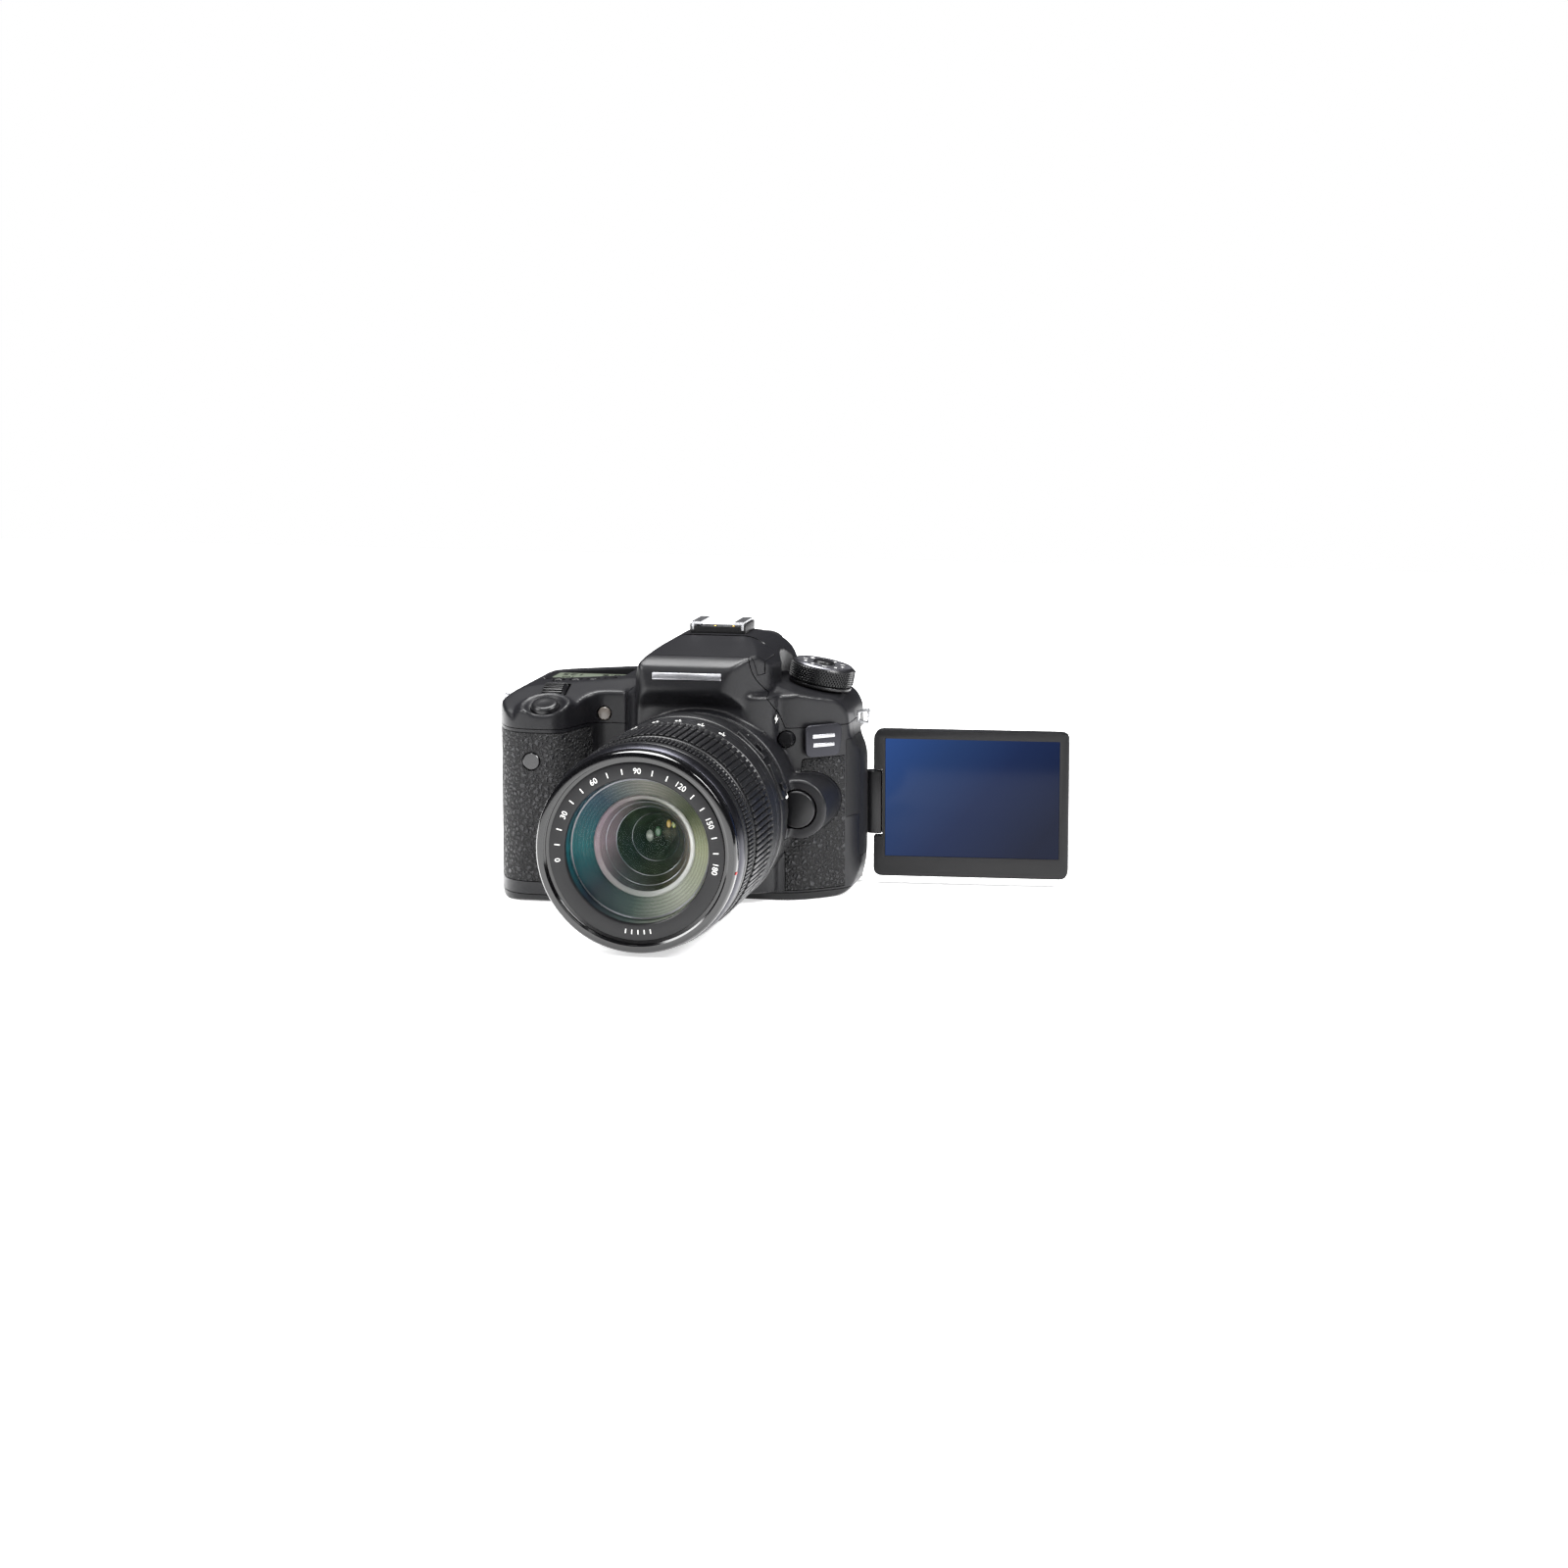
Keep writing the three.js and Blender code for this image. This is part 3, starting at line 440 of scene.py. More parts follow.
class Solid:
    """A closed shape in millimetres that can be joined to, cut by and met with others."""

    def __init__(self, form: bmesh.types.BMesh) -> None:
        """Takes over a bmesh, whose faces are turned outwards."""
        bmesh.ops.recalc_face_normals(form, faces=form.faces)
        mesh = bpy.data.meshes.new("solid")
        form.to_mesh(mesh)
        form.free()
        self.holder = bpy.data.objects.new("solid", mesh)
        bpy.context.scene.collection.objects.link(self.holder)

    def copy(self) -> Solid:
        """Returns a second solid of the same shape."""
        return Solid(self.form())

    def form(self) -> bmesh.types.BMesh:
        """Returns a new bmesh of the shape."""
        form = bmesh.new()
        form.from_mesh(self.holder.data)
        return form

    def discard(self) -> None:
        """Removes the shape; it isn't used again."""
        mesh = self.holder.data
        bpy.data.objects.remove(self.holder)
        bpy.data.meshes.remove(mesh)

    def bake(self) -> Solid:
        """Applies the modifiers that are on the shape."""
        graph = bpy.context.evaluated_depsgraph_get()
        made = bpy.data.meshes.new_from_object(self.holder.evaluated_get(graph))
        self.holder.modifiers.clear()
        old, self.holder.data = self.holder.data, made
        bpy.data.meshes.remove(old)
        return self

    def combine(self, operation: str, tools: Iterable[Solid]) -> Solid:
        """Joins, cuts or meets this shape with each tool in turn."""
        for tool in tools:
            step = self.holder.modifiers.new("combine", "BOOLEAN")
            step.operation, step.solver, step.object = operation, "MANIFOLD", tool.holder
        return self.bake()

    def add(self, *tools: Solid) -> Solid:
        """Joins the tools to this shape."""
        return self.combine("UNION", tools)

    def cut(self, *tools: Solid) -> Solid:
        """Takes the tools away from this shape."""
        return self.combine("DIFFERENCE", tools)

    def meet(self, *tools: Solid) -> Solid:
        """Keeps what this shape shares with every tool."""
        return self.combine("INTERSECT", tools)

    def moulded(self, voxel: float, rounds: int) -> Solid:
        """Remeshes the shape evenly and rounds its edges, as a moulding has them."""
        remesh = self.holder.modifiers.new("remesh", "REMESH")
        remesh.mode, remesh.voxel_size, remesh.use_smooth_shade = "VOXEL", voxel, True
        smooth = self.holder.modifiers.new("smooth", "SMOOTH")
        smooth.factor, smooth.iterations = 0.5, rounds
        return self.bake()

    def placed(self, matrix: Matrix) -> Solid:
        """Moves the shape by a matrix."""
        self.holder.data.transform(matrix)
        return self

    def aimed(self, at: Sequence[float], direction: Sequence[float]) -> Solid:
        """Turns the shape's own Z axis to a direction and moves its origin to a point."""
        turn = Vector(direction).to_track_quat("Z", "Y").to_matrix().to_4x4()
        return self.placed(Matrix.Translation(Vector(at)) @ turn)

    def piece(
        self,
        name: str,
        body: str,
        finish: Finish,
        replaces: Sequence[str] = (),
        slot: str = "",
        crease: float = 32.0,
    ) -> bpy.types.Object:
        """Turns the shape into a finished piece in metres that rides on a body.

        Args:
            name: the piece's name.
            body: the body that it rides on.
            finish: its surface.
            replaces: the CAD nodes that it stands for.
            slot: the record's material slot, if the piece takes its finish from one; not used.
            crease: the angle in degrees past which an edge is shown sharp.

        Returns:
            The piece's object.
        """
        mesh, self.holder.data = self.holder.data, bpy.data.meshes.new("empty")
        self.discard()
        mesh.transform(Matrix.Scale(MM, 4))
        mesh.name = name
        mesh.materials.clear()
        mesh.materials.append(finish.material())
        mesh.polygons.foreach_set("material_index", [0] * len(mesh.polygons))
        mesh.shade_smooth()
        mesh.set_sharp_from_angle(angle=math.radians(crease))
        made = bpy.data.objects.new(name, mesh)
        bpy.context.scene.collection.objects.link(made)
        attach(made, body)
        if replaces:
            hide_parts(*replaces)
        LOG.info("%s: %d faces on %s", name, len(mesh.polygons), body)
        return made


def rounded(corners: Sequence[Corner], steps: int) -> list[tuple[float, float]]:
    """Rounds the corners of a closed outline.

    Args:
        corners: a, b and the length that the rounding takes off each side.
        steps: the number of straight stretches in a rounded corner.

    Returns:
        The points of the outline.
    """
    points = []
    for i, (a, b, size) in enumerate(corners):
        here = Vector((a, b))
        back = Vector(corners[i - 1][:2]) - here
        on = Vector(corners[(i + 1) % len(corners)][:2]) - here
        if size == 0:
            points.append(tuple(here))
            continue
        start = here + back * min(size / back.length, 0.47)
        end = here + on * min(size / on.length, 0.47)
        for k in range(steps + 1):
            t = k / steps
            points.append(tuple(start * (1 - t) ** 2 + here * 2 * t * (1 - t) + end * t * t))
    return points


def ordered(corners: Sequence[Corner]) -> list[Corner]:
    """Returns the corners counter-clockwise."""
    area = sum(
        a[0] * b[1] - b[0] * a[1]
        for a, b in zip(corners, [*corners[1:], corners[0]], strict=True)
    )
    return list(corners) if area > 0 else list(reversed(corners))


def inset(corners: Sequence[Corner], by: float) -> list[Corner]:
    """Moves a counter-clockwise outline inwards by a distance, or outwards if it is negative."""
    moved = []
    for i, (a, b, size) in enumerate(corners):
        before = Vector((a, b)) - Vector(corners[i - 1][:2])
        after = Vector(corners[(i + 1) % len(corners)][:2]) - Vector((a, b))
        n1 = Vector((-before.y, before.x)).normalized()
        n2 = Vector((-after.y, after.x)).normalized()
        shift = (n1 + n2) * by / (1 + n1.dot(n2))
        moved.append((a + shift.x, b + shift.y, max(size - by / 2, 0.2)))
    return moved


def prism(axis: Axis, corners: Sequence[Corner], low: float, high: float, steps: int = 8) -> Solid:
    """Stretches an outline along an axis.

    Args:
        axis: the direction of the stretch.
        corners: the outline in the two other directions, in X, Y, Z order.
        low: where the prism starts along the axis.
        high: where it ends.
        steps: the number of straight stretches in a rounded corner.

    Returns:
        The prism.
    """
    form = bmesh.new()
    ring = [form.verts.new(axis.point(a, b, low)) for a, b in rounded(ordered(corners), steps)]
    swept = bmesh.ops.extrude_face_region(form, geom=[form.faces.new(ring)])
    moved = [v for v in swept["geom"] if isinstance(v, bmesh.types.BMVert)]
    bmesh.ops.translate(form, verts=moved, vec=axis.point(0, 0, high - low))
    return Solid(form)


def block(low: Sequence[float], high: Sequence[float], round_by: float = 0.0) -> Solid:
    """Makes a box between two corners, with its edges rounded if asked."""
    form = bmesh.new()
    bmesh.ops.create_cube(form, size=1.0)
    low_v, high_v = Vector(low), Vector(high)
    bmesh.ops.scale(form, vec=high_v - low_v, verts=form.verts)
    bmesh.ops.translate(form, vec=(low_v + high_v) / 2, verts=form.verts)
    if round_by > 0:
        bmesh.ops.bevel(
            form, geom=form.edges, offset=round_by, segments=3, profile=0.5, affect="EDGES",
            material=-1, clamp_overlap=True)
    return Solid(form)


def turned(profile: Profile, steps: int = 96) -> Solid:
    """Spins a closed profile of radius and height about the Z axis.

    Args:
        profile: the points of the profile, in order.
        steps: the number of steps in the full turn.

    Returns:
        The turned shape.
    """
    form = bmesh.new()
    verts = [form.verts.new((r, 0.0, z)) for r, z in profile]
    edges = [
        form.edges.new((a, b))
        for a, b in zip(verts, [*verts[1:], verts[0]], strict=True)
        if max(a.co.x, b.co.x) > 0
    ]
    bmesh.ops.spin(
        form, geom=[*verts, *edges], cent=(0, 0, 0), axis=(0, 0, 1), angle=2 * math.pi,
        steps=steps, use_merge=True)
    bmesh.ops.remove_doubles(form, verts=form.verts, dist=1e-4)
    return Solid(form)


def drum(axis: Axis, centre: tuple[float, float], radius: float, low: float, high: float,
         steps: int = 64) -> Solid:
    """Makes a cylinder along an axis, between two places on it."""
    shape = turned([(0.0, low), (radius, low), (radius, high), (0.0, high)], steps)
    if axis is Axis.X:
        return shape.placed(Matrix.Translation((0, *centre)) @ spun(90, "Y"))
    if axis is Axis.Y:
        turn = spun(-90, "X")
        return shape.placed(shifted(centre[0], 0, centre[1]) @ turn)
    return shape.placed(Matrix.Translation((*centre, 0)))


def gathered(shapes: Iterable[Solid]) -> Solid:
    """Makes one solid of separate shapes, which are used up."""
    form = bmesh.new()
    for shape in shapes:
        form.from_mesh(shape.holder.data)
        shape.discard()
    return Solid(form)


def repeated(model: Solid, places: Iterable[Matrix]) -> Solid:
    """Makes one solid of many copies of a small shape.

    Args:
        model: the shape in its own place, which is used up.
        places: one matrix for each copy.

    Returns:
        All copies as one solid.
    """
    form = bmesh.new()
    for place in places:
        copy = model.holder.data.copy()
        copy.transform(place)
        form.from_mesh(copy)
        bpy.data.meshes.remove(copy)
    model.discard()
    return Solid(form)


def around(count: int, start: float = 0.0) -> list[Matrix]:
    """Returns count even turns about Z, the first at a start angle in degrees."""
    return [spun(start + 360 * k / count) for k in range(count)]


def spun(degrees: float, turn_axis: str = "Z") -> Matrix:
    """Returns a turn about the named axis."""
    return Matrix.Rotation(math.radians(degrees), 4, turn_axis)


def shifted(x: float, y: float, z: float) -> Matrix:
    """Returns a move."""
    return Matrix.Translation((x, y, z))


def of_node(node: str) -> Solid:
    """Returns a copy of a CAD node in millimetres, with its loose triangles merged."""
    form = bmesh.new()
    form.from_mesh(frame["nodes"][node].data)
    bmesh.ops.scale(form, vec=(1 / MM,) * 3, verts=form.verts)
    bmesh.ops.remove_doubles(form, verts=form.verts, dist=1e-3)
    bmesh.ops.dissolve_limit(
        form, angle_limit=math.radians(1.0), verts=form.verts, edges=form.edges)
    return Solid(form)


def softened(node: str, width: float, sharper_than: float = 40.0, segments: int = 3) -> Solid:
    """Rounds the sharp edges of a copy of a CAD node.

    Args:
        node: the CAD node's name.
        width: how far the rounding reaches from an edge, in millimetres.
        sharper_than: edges that turn by more than this many degrees are rounded.
        segments: the number of faces across the rounding.

    Returns:
        The rounded copy.
    """
    source = of_node(node)
    form = source.form()
    source.discard()
    edges = [
        e for e in form.edges
        if len(e.link_faces) == 2 and e.calc_face_angle() > math.radians(sharper_than)
    ]
    bmesh.ops.bevel(
        form, geom=edges, offset=width, segments=segments, profile=0.5, affect="EDGES",
        material=-1, clamp_overlap=True)
    return Solid(form)


def box_mm(node: str) -> tuple[Vector, Vector]:
    """Returns the lowest and highest corner of a CAD node, in millimetres."""
    low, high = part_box(node)
    return low / MM, high / MM


def lettered(text: str, height: float, thickness: float = 0.12) -> Solid:
    """Makes generic figures that stand on the XY plane, centred on the origin.

    Args:
        text: digits or a plain sign.
        height: the height of the figures in millimetres.
        thickness: how far they stand up.

    Returns:
        The figures as a solid.
    """
    curve = bpy.data.curves.new("figures", "FONT")
    curve.body, curve.size, curve.extrude = text, height * 1.35, thickness / 2
    curve.align_x, curve.align_y, curve.resolution_u = "CENTER", "CENTER", 3
    holder = bpy.data.objects.new("figures", curve)
    bpy.context.scene.collection.objects.link(holder)
    graph = bpy.context.evaluated_depsgraph_get()
    mesh = bpy.data.meshes.new_from_object(holder.evaluated_get(graph))
    bpy.data.objects.remove(holder)
    bpy.data.curves.remove(curve)
    form = bmesh.new()
    form.from_mesh(mesh)
    bpy.data.meshes.remove(mesh)
    bmesh.ops.remove_doubles(form, verts=form.verts, dist=1e-4)
    return Solid(form)


def slab(
    x: tuple[float, float] = (-FAR, FAR),
    y: tuple[float, float] = (-FAR, FAR),
    z: tuple[float, float] = (-FAR, FAR),
) -> Solid:
    """Returns the part of space between two planes in each direction."""
    return block((x[0], y[0], z[0]), (x[1], y[1], z[1]))


def clear_tools() -> None:
    """Removes the solids that were only used to shape others."""
    for holder in [o for o in bpy.data.objects if o.name.startswith("solid")]:
        bpy.data.objects.remove(holder)
    for mesh in [m for m in bpy.data.meshes if m.users == 0]:
        bpy.data.meshes.remove(mesh)


def tilt(degrees: float, turn_axis: str) -> Vector:
    """Returns +Z turned about the named axis."""
    return Matrix.Rotation(math.radians(degrees), 3, turn_axis) @ Vector((0, 0, 1))


# ---------------------------------------------------------------- body casing


@dataclass
class BodyCasing:
    """The moulded covers, the rubber on them and the doors that are cut from them."""

    dial_seat_radius: float = 17.5
    dial_seat_place: tuple[float, float, float] = (38.5, 2.0, 79.6)
    dial_lean: float = 11.0  # degrees from upright
    voxel: float = 0.6
    rounding: int = 15
    wall: float = 2.8
    skin: float = 1.5
    door_depth: float = 2.4
    plan: tuple[Corner, ...] = (
        (-80, 20, 10), (-83, -24, 16), (-73, -50, 11), (-51, -50, 6), (-45, -28, 7),
        (35, -28, 9), (56.2, -10, 12), (56.2, 20, 5))
    elevation: tuple[Corner, ...] = (
        (-83, 0, 5), (53, 0, 6), (56.2, 11, 6), (56.2, 55, 4), (52.6, 62, 4), (52.6, 71, 3),
        (49, 77, 3), (24, 82.6, 3), (-30, 83.2, 3), (-64, 80.8, 5), (-76, 79.5, 9), (-83, 68, 7))
    side: tuple[Corner, ...] = ((-50, 0, 4), (20, 0, 3), (20, 86, 6), (-8, 86, 4), (-50, 71.5, 8))
    hump_plan: tuple[Corner, ...] = (
        (-27, 20, 4), (-28, -28, 8), (-22, -44.5, 5), (12.5, -44.5, 7), (25, -30, 8), (27, 20, 4))
    hump_elevation: tuple[Corner, ...] = (
        (-30, 66, 0), (30, 66, 0), (27, 88, 4), (22.5, 95, 4), (14, 99.9, 5), (-13, 99.9, 5),
        (-21, 95.5, 4), (-27, 86, 6))
    hump_side: tuple[Corner, ...] = (
        (-37, 60, 0), (20, 60, 0), (20, 95, 4), (12, 99.9, 3), (-9, 99.9, 3), (-38, 94.6, 3),
        (-42.6, 91.4, 1.5), (-44.5, 82.6, 2), (-38, 75, 2))
    column_plan: tuple[Corner, ...] = (
        (-32, -20, 0), (-30, -34, 4), (-20, -39, 6), (18, -39, 6), (27, -34, 4), (31, -20, 0))
    thumb_rest: tuple[Corner, ...] = ((-79, 28, 6), (-66, 28, 6), (-60, 66, 5), (-76, 66, 8))
    release_at: tuple[float, float] = (38.3, 38.2)
    release_boss: float = 11.4

    def three_way(self, outlines: Sequence[Sequence[Corner]], by: float) -> Solid:
        """Meets a plan, an elevation and a side outline, each moved inwards."""
        shapes = [
            prism(axis, inset(ordered(outline), by), -FAR, FAR)
            for axis, outline in zip((Axis.Z, Axis.Y, Axis.X), outlines, strict=True)
        ]
        return shapes[0].meet(*shapes[1:])

    def main(self, by: float) -> Solid:
        """The body without the prism housing."""
        return self.three_way((self.plan, self.elevation, self.side), by)

    def filled(self, by: float) -> Solid:
        """The body, the prism housing and the column round the mount, moved inwards."""
        hump = self.three_way((self.hump_plan, self.hump_elevation, self.hump_side), by)
        column = prism(Axis.Z, inset(ordered(self.column_plan), by), 4 + by, 80 - by)
        return self.main(by).add(hump, column)

    def bay(self, by: float) -> Solid:
        """The recess for the folded display, moved outwards."""
        low, high = 2.9 - by, 61.7 + by
        space = slab(x=(-20.4 - by, FAR), y=(13.3 - by, FAR), z=(low, high))
        return space.add(drum(Axis.Z, (57, 16), 5.8 + by, low, high))

    def dial_seat(self, by: float) -> Solid:
        """The round space that the mode dial stands in, moved outwards."""
        seat = drum(Axis.Z, (0, 0), self.dial_seat_radius + by, -by, 30)
        return seat.placed(shifted(*self.dial_seat_place) @ spun(self.dial_lean, "Y"))

    def solid(self) -> Solid:
        """The outer shape, with the soft edges of a moulding."""
        collar = turned([
            (0, -9), (16, -9), (12.6, -2), (10.6, 1.8), (9.3, 2.8), (7.8, 2.5), (6.4, 1.0), (0, 1.0)])
        collar.aimed((-59, -43.6, 73.6), tilt(20, "X"))
        collar.meet(prism(Axis.Z, self.plan, SEAM_Z - 4, FAR))
        shape = self.filled(0).add(
            drum(Axis.Y, (0, LENS_Z), 36.4, -43.8, -26),
            drum(Axis.Y, self.release_at, self.release_boss, -40.5, -14),
            prism(Axis.Y, self.thumb_rest, 10, 23.5),
            collar)
        return shape.cut(self.dial_seat(0), self.bay(0)).moulded(self.voxel, self.rounding)

    def grip_region(self, by: float) -> Solid:
        """Where the grip rubber lies, moved inwards."""
        region = slab(x=(-FAR, -36.3 - by), y=(-FAR, -4.5 - by), z=(8 + by, 65.6 - by))
        return region.cut(block((-45, -30, -26), (0, 0, 70)))

    def side_region(self, by: float) -> Solid:
        """Where the rubber beside the mount lies, moved inwards."""
        outline = (
            (31 + by, 4 + by, 0), (60, 4 + by, 0), (60, 55 - by, 0), (37 + by, 55 - by, 2),
            (37 + by, 50.5, 3), (31 + by, 25, 3), (31 + by, 20, 2))
        region = prism(Axis.Y, outline, -FAR, -13)
        return region.cut(drum(Axis.Y, self.release_at, self.release_boss + 0.6 + by, -FAR, 0))

    def front_region(self, by: float) -> Solid:
        """What belongs to the front cover above the seam: the front of the prism housing."""
        side = (
            (-60, SEAM_Z - 1, 0), (-24 - by, SEAM_Z - 1, 0), (-24 - by, 84, 0), (-33.2 - by, 88, 0),
            (-35.6 - by, 96, 0), (-35.7 - by, 110, 0), (-60, 110, 0))
        face = (
            (-31 + by, 60, 0), (34 - by, 60, 0), (27 - by, 77, 6), (20 - by, 88, 4),
            (16 - by, 110, 0), (-23 + by, 110, 0), (-29 + by, 86, 4))
        return prism(Axis.X, side, -FAR, FAR).meet(prism(Axis.Y, face, -FAR, FAR))

    def flash_region(self, by: float) -> Solid:
        """The space of the pop-up flash in the prism housing, moved outwards."""
        side = (
            (-35.9 - by, 110, 0), (-35.8 - by, 96, 0), (-33.4 - by, 88 - by, 0),
            (-13 + by, 89.6 - by, 0), (-10.8 + by, 94.6, 0), (-10.8 + by, 110, 0))
        return prism(Axis.X, side, -20.5 - by, 23.5 + by)

    def door_regions(self, by: float) -> dict[str, Solid]:
        """The space of each side door, moved inwards."""
        return {
            "card_door": slab(x=(-FAR, -77 - by), y=(-1 + by, 15 - by), z=(20 + by, 58 - by)),
            "terminal_cover_front": slab(x=(50 + by, FAR), y=(-12.5 + by, -4.2 - by),
                                         z=(31 + by, 61 - by)),
            "terminal_cover_rear": slab(x=(50 + by, FAR), y=(-3.6 + by, 8.6 - by),
                                        z=(14 + by, 61 - by)),
        }

    def pockets(self) -> list[Solid]:
        """The holes for the buttons, dials and windows of the top and rear covers."""
        holes = [flash_groove(), slab(x=(-11.5, 11.5), y=(10, FAR), z=(77, 92.4))]
        holes.append(prism(Axis.Z, ((-70, -9, 2), (-36, -9, 2), (-36, 10, 2), (-70, 10, 2)), 79, FAR))
        for node in ("af_button", "drive_button", "iso_button", "metering_button"):
            low, high = box_mm(node)
            middle = (low + high) / 2
            holes.append(drum(Axis.Z, (middle.x, middle.y), (high.x - low.x) / 2 + 0.35, 74, FAR))
        for node in (*REAR_KEYS, "quick_dial"):
            low, high = box_mm(node)
            middle = (low + high) / 2
            holes.append(drum(Axis.Y, (middle.x, middle.z), (high.x - low.x) / 2 + 0.4,
                              low.y - 2.0, FAR))
        return holes

    def build(self) -> None:
        """Makes the covers, rubbers and doors."""
        outer = self.solid()
        flash = outer.copy().meet(self.flash_region(0))
        void = self.filled(self.wall).cut(self.bay(self.wall), self.dial_seat(self.wall))
        throat = drum(Axis.Y, (0, LENS_Z), 26.4, -FAR, -20, steps=96)
        seat = drum(Axis.Y, (0, LENS_Z), 32.9, -FAR, -40.9, steps=96)
        release_hole = drum(Axis.Y, self.release_at, 7.75, -FAR, -32.4)
        flash_key_hole = drum(Axis.Y, (31.5, 62.8), 3.45, -FAR, -20)
        lamp_hole = drum(Axis.Y, (-39.8, 70.6), 2.9, -FAR, -20)
        window_hole = drum(Axis.Y, (-63.1, 54.6), 3.7, -FAR, -48.2)
        shutter_hole = drum(Axis.Z, (0, 0), 5.75, -10, 25).aimed(
            (-59, -43.6, 73.6), tilt(20, "X"))
        dial_hole = drum(Axis.X, (-28, 73.4), 9.0, -63.9, -54.1)
        doors = {name: outer.copy().cut(self.main(self.door_depth)).meet(space)
                 for name, space in self.door_regions(0.0).items()}
        door_holes = list(self.door_regions(-0.2).values())
        thumb_outline = ordered(self.thumb_rest)
        thumb = outer.copy().meet(prism(Axis.Y, inset(thumb_outline, 1.9), 22.0, FAR)).cut(
            *self.pockets())
        core = self.main(self.skin + 0.35)
        grip = outer.copy().cut(self.main(self.skin)).meet(self.grip_region(0.15)).cut(window_hole)
        side = outer.copy().cut(self.main(self.skin)).meet(self.side_region(0.15)).cut(*door_holes)
        below = slab(z=(-FAR, BASE_Z))
        base = outer.copy().meet(below).cut(
            drum(Axis.Z, (0, -13), 3.2, -FAR, FAR), slab((-77.35, -51.65), (-38.35, 5.35), (-9, FAR)))
        outer.cut(void, throat, seat, self.flash_region(GAP))
        bared = outer.copy().cut(
            self.grip_region(-0.15).cut(core), self.side_region(-0.15).cut(core.copy()))
        middle = slab(z=(BASE_Z + GAP, SEAM_Z - GAP / 2))
        front_zone = slab(y=(-FAR, SPLIT_Y - GAP / 2), z=(BASE_Z + GAP, SEAM_Z - GAP / 2)).add(
            self.front_region(GAP / 2))
        front = bared.copy().meet(front_zone).cut(
            release_hole, flash_key_hole, window_hole, lamp_hole, *door_holes)
        rear = bared.meet(middle, slab(y=(SPLIT_Y + GAP / 2, FAR))).cut(
            *door_holes, *self.pockets(), prism(Axis.Y, inset(thumb_outline, 1.7), 21.8, FAR))
        top = outer.meet(slab(z=(SEAM_Z + GAP / 2, FAR))).cut(
            self.front_region(-GAP / 2), shutter_hole, dial_hole, lamp_hole, *self.pockets())
        front.piece("front_shell", "camera_body", PLASTIC, ["front_cover"], "body_plastic")
        rear.piece("rear_shell", "camera_body", PLASTIC, ["rear_cover"], "body_plastic")
        top.piece("top_shell", "camera_body", PLASTIC, ["top_cover"], "body_plastic")
        base.piece("base_shell", "camera_body", PLASTIC_DARK, ["bottom_cover"], "body_plastic")
        grip.piece("grip_leatherette", "camera_body", LEATHERETTE, ["grip_rubber"], "grip_rubber")
        side.piece("side_leatherette", "camera_body", LEATHERETTE, ["side_rubber"], "grip_rubber")
        thumb.piece("thumb_leatherette", "camera_body", LEATHERETTE, slot="grip_rubber")
        for name, door in doors.items():
            finish = PLASTIC if name == "card_door" else SOFT_RUBBER
            slot = "body_plastic" if name == "card_door" else "grip_rubber"
            door.piece(name + "_panel", name, finish, [name], slot)
        window = block((-14, -34.05, 90.6), (14, -32.8, 93.4), 0.3)
        flash.cut(prism(Axis.X, ((-60, 90.3, 0), (-32.5, 90.3, 0), (-32.8, 93.7, 0), (-60, 93.7, 0)),
                        -14.3, 14.3))
        flash.piece("flash_lid", "flash", PLASTIC, ["flash_head"], "body_plastic")
        window.piece("flash_lens", "flash", FLASH_LENS, ["flash_window"], "clear_glass")
        clear_tools()


def flash_groove() -> Solid:
    """The groove in the top cover that the rear edge of the flash turns in."""
    return drum(Axis.X, (-10.8, 98.4), 1.9, -20.85, 23.85, steps=32)


# ---------------------------------------------------------------- controls


class Press(Enum):
    """The direction that a button stands out in."""

    UP = (0.0, 0.0, 1.0)
    BACK = (0.0, 1.0, 0.0)
    FRONT = (0.0, -1.0, 0.0)


REAR_KEYS = ("menu_button", "info_button", "live_view_button", "playback_button", "af_on_button")


@dataclass
class RoundKey:
    """A round key with a rounded rim and a dished or domed top."""

    node: str
    press: Press
    dome: float = 0.25
    rim: float = 0.5

    def build(self) -> None:
        """Makes the key where its CAD node is."""
        low, high = box_mm(self.node)
        middle = (low + high) / 2
        radius = max(high.x - low.x, min(high.y - low.y, high.z - low.z)) / 2
        direction = Vector(self.press.value)
        depth = abs((high - low).dot(direction))
        at = middle - direction * depth / 2
        top = depth
        profile = [
            (0, 0), (radius, 0), (radius, top - self.rim), (radius - self.rim * 0.3, top - self.rim * 0.3),
            (radius - self.rim, top), (radius * 0.55, top + self.dome * 0.7), (0, top + self.dome)]
        key = turned(profile, 48).aimed(at, direction)
        key.piece(self.node + "_cap", self.node, CONTROL, [self.node], "control_plastic", 50.0)


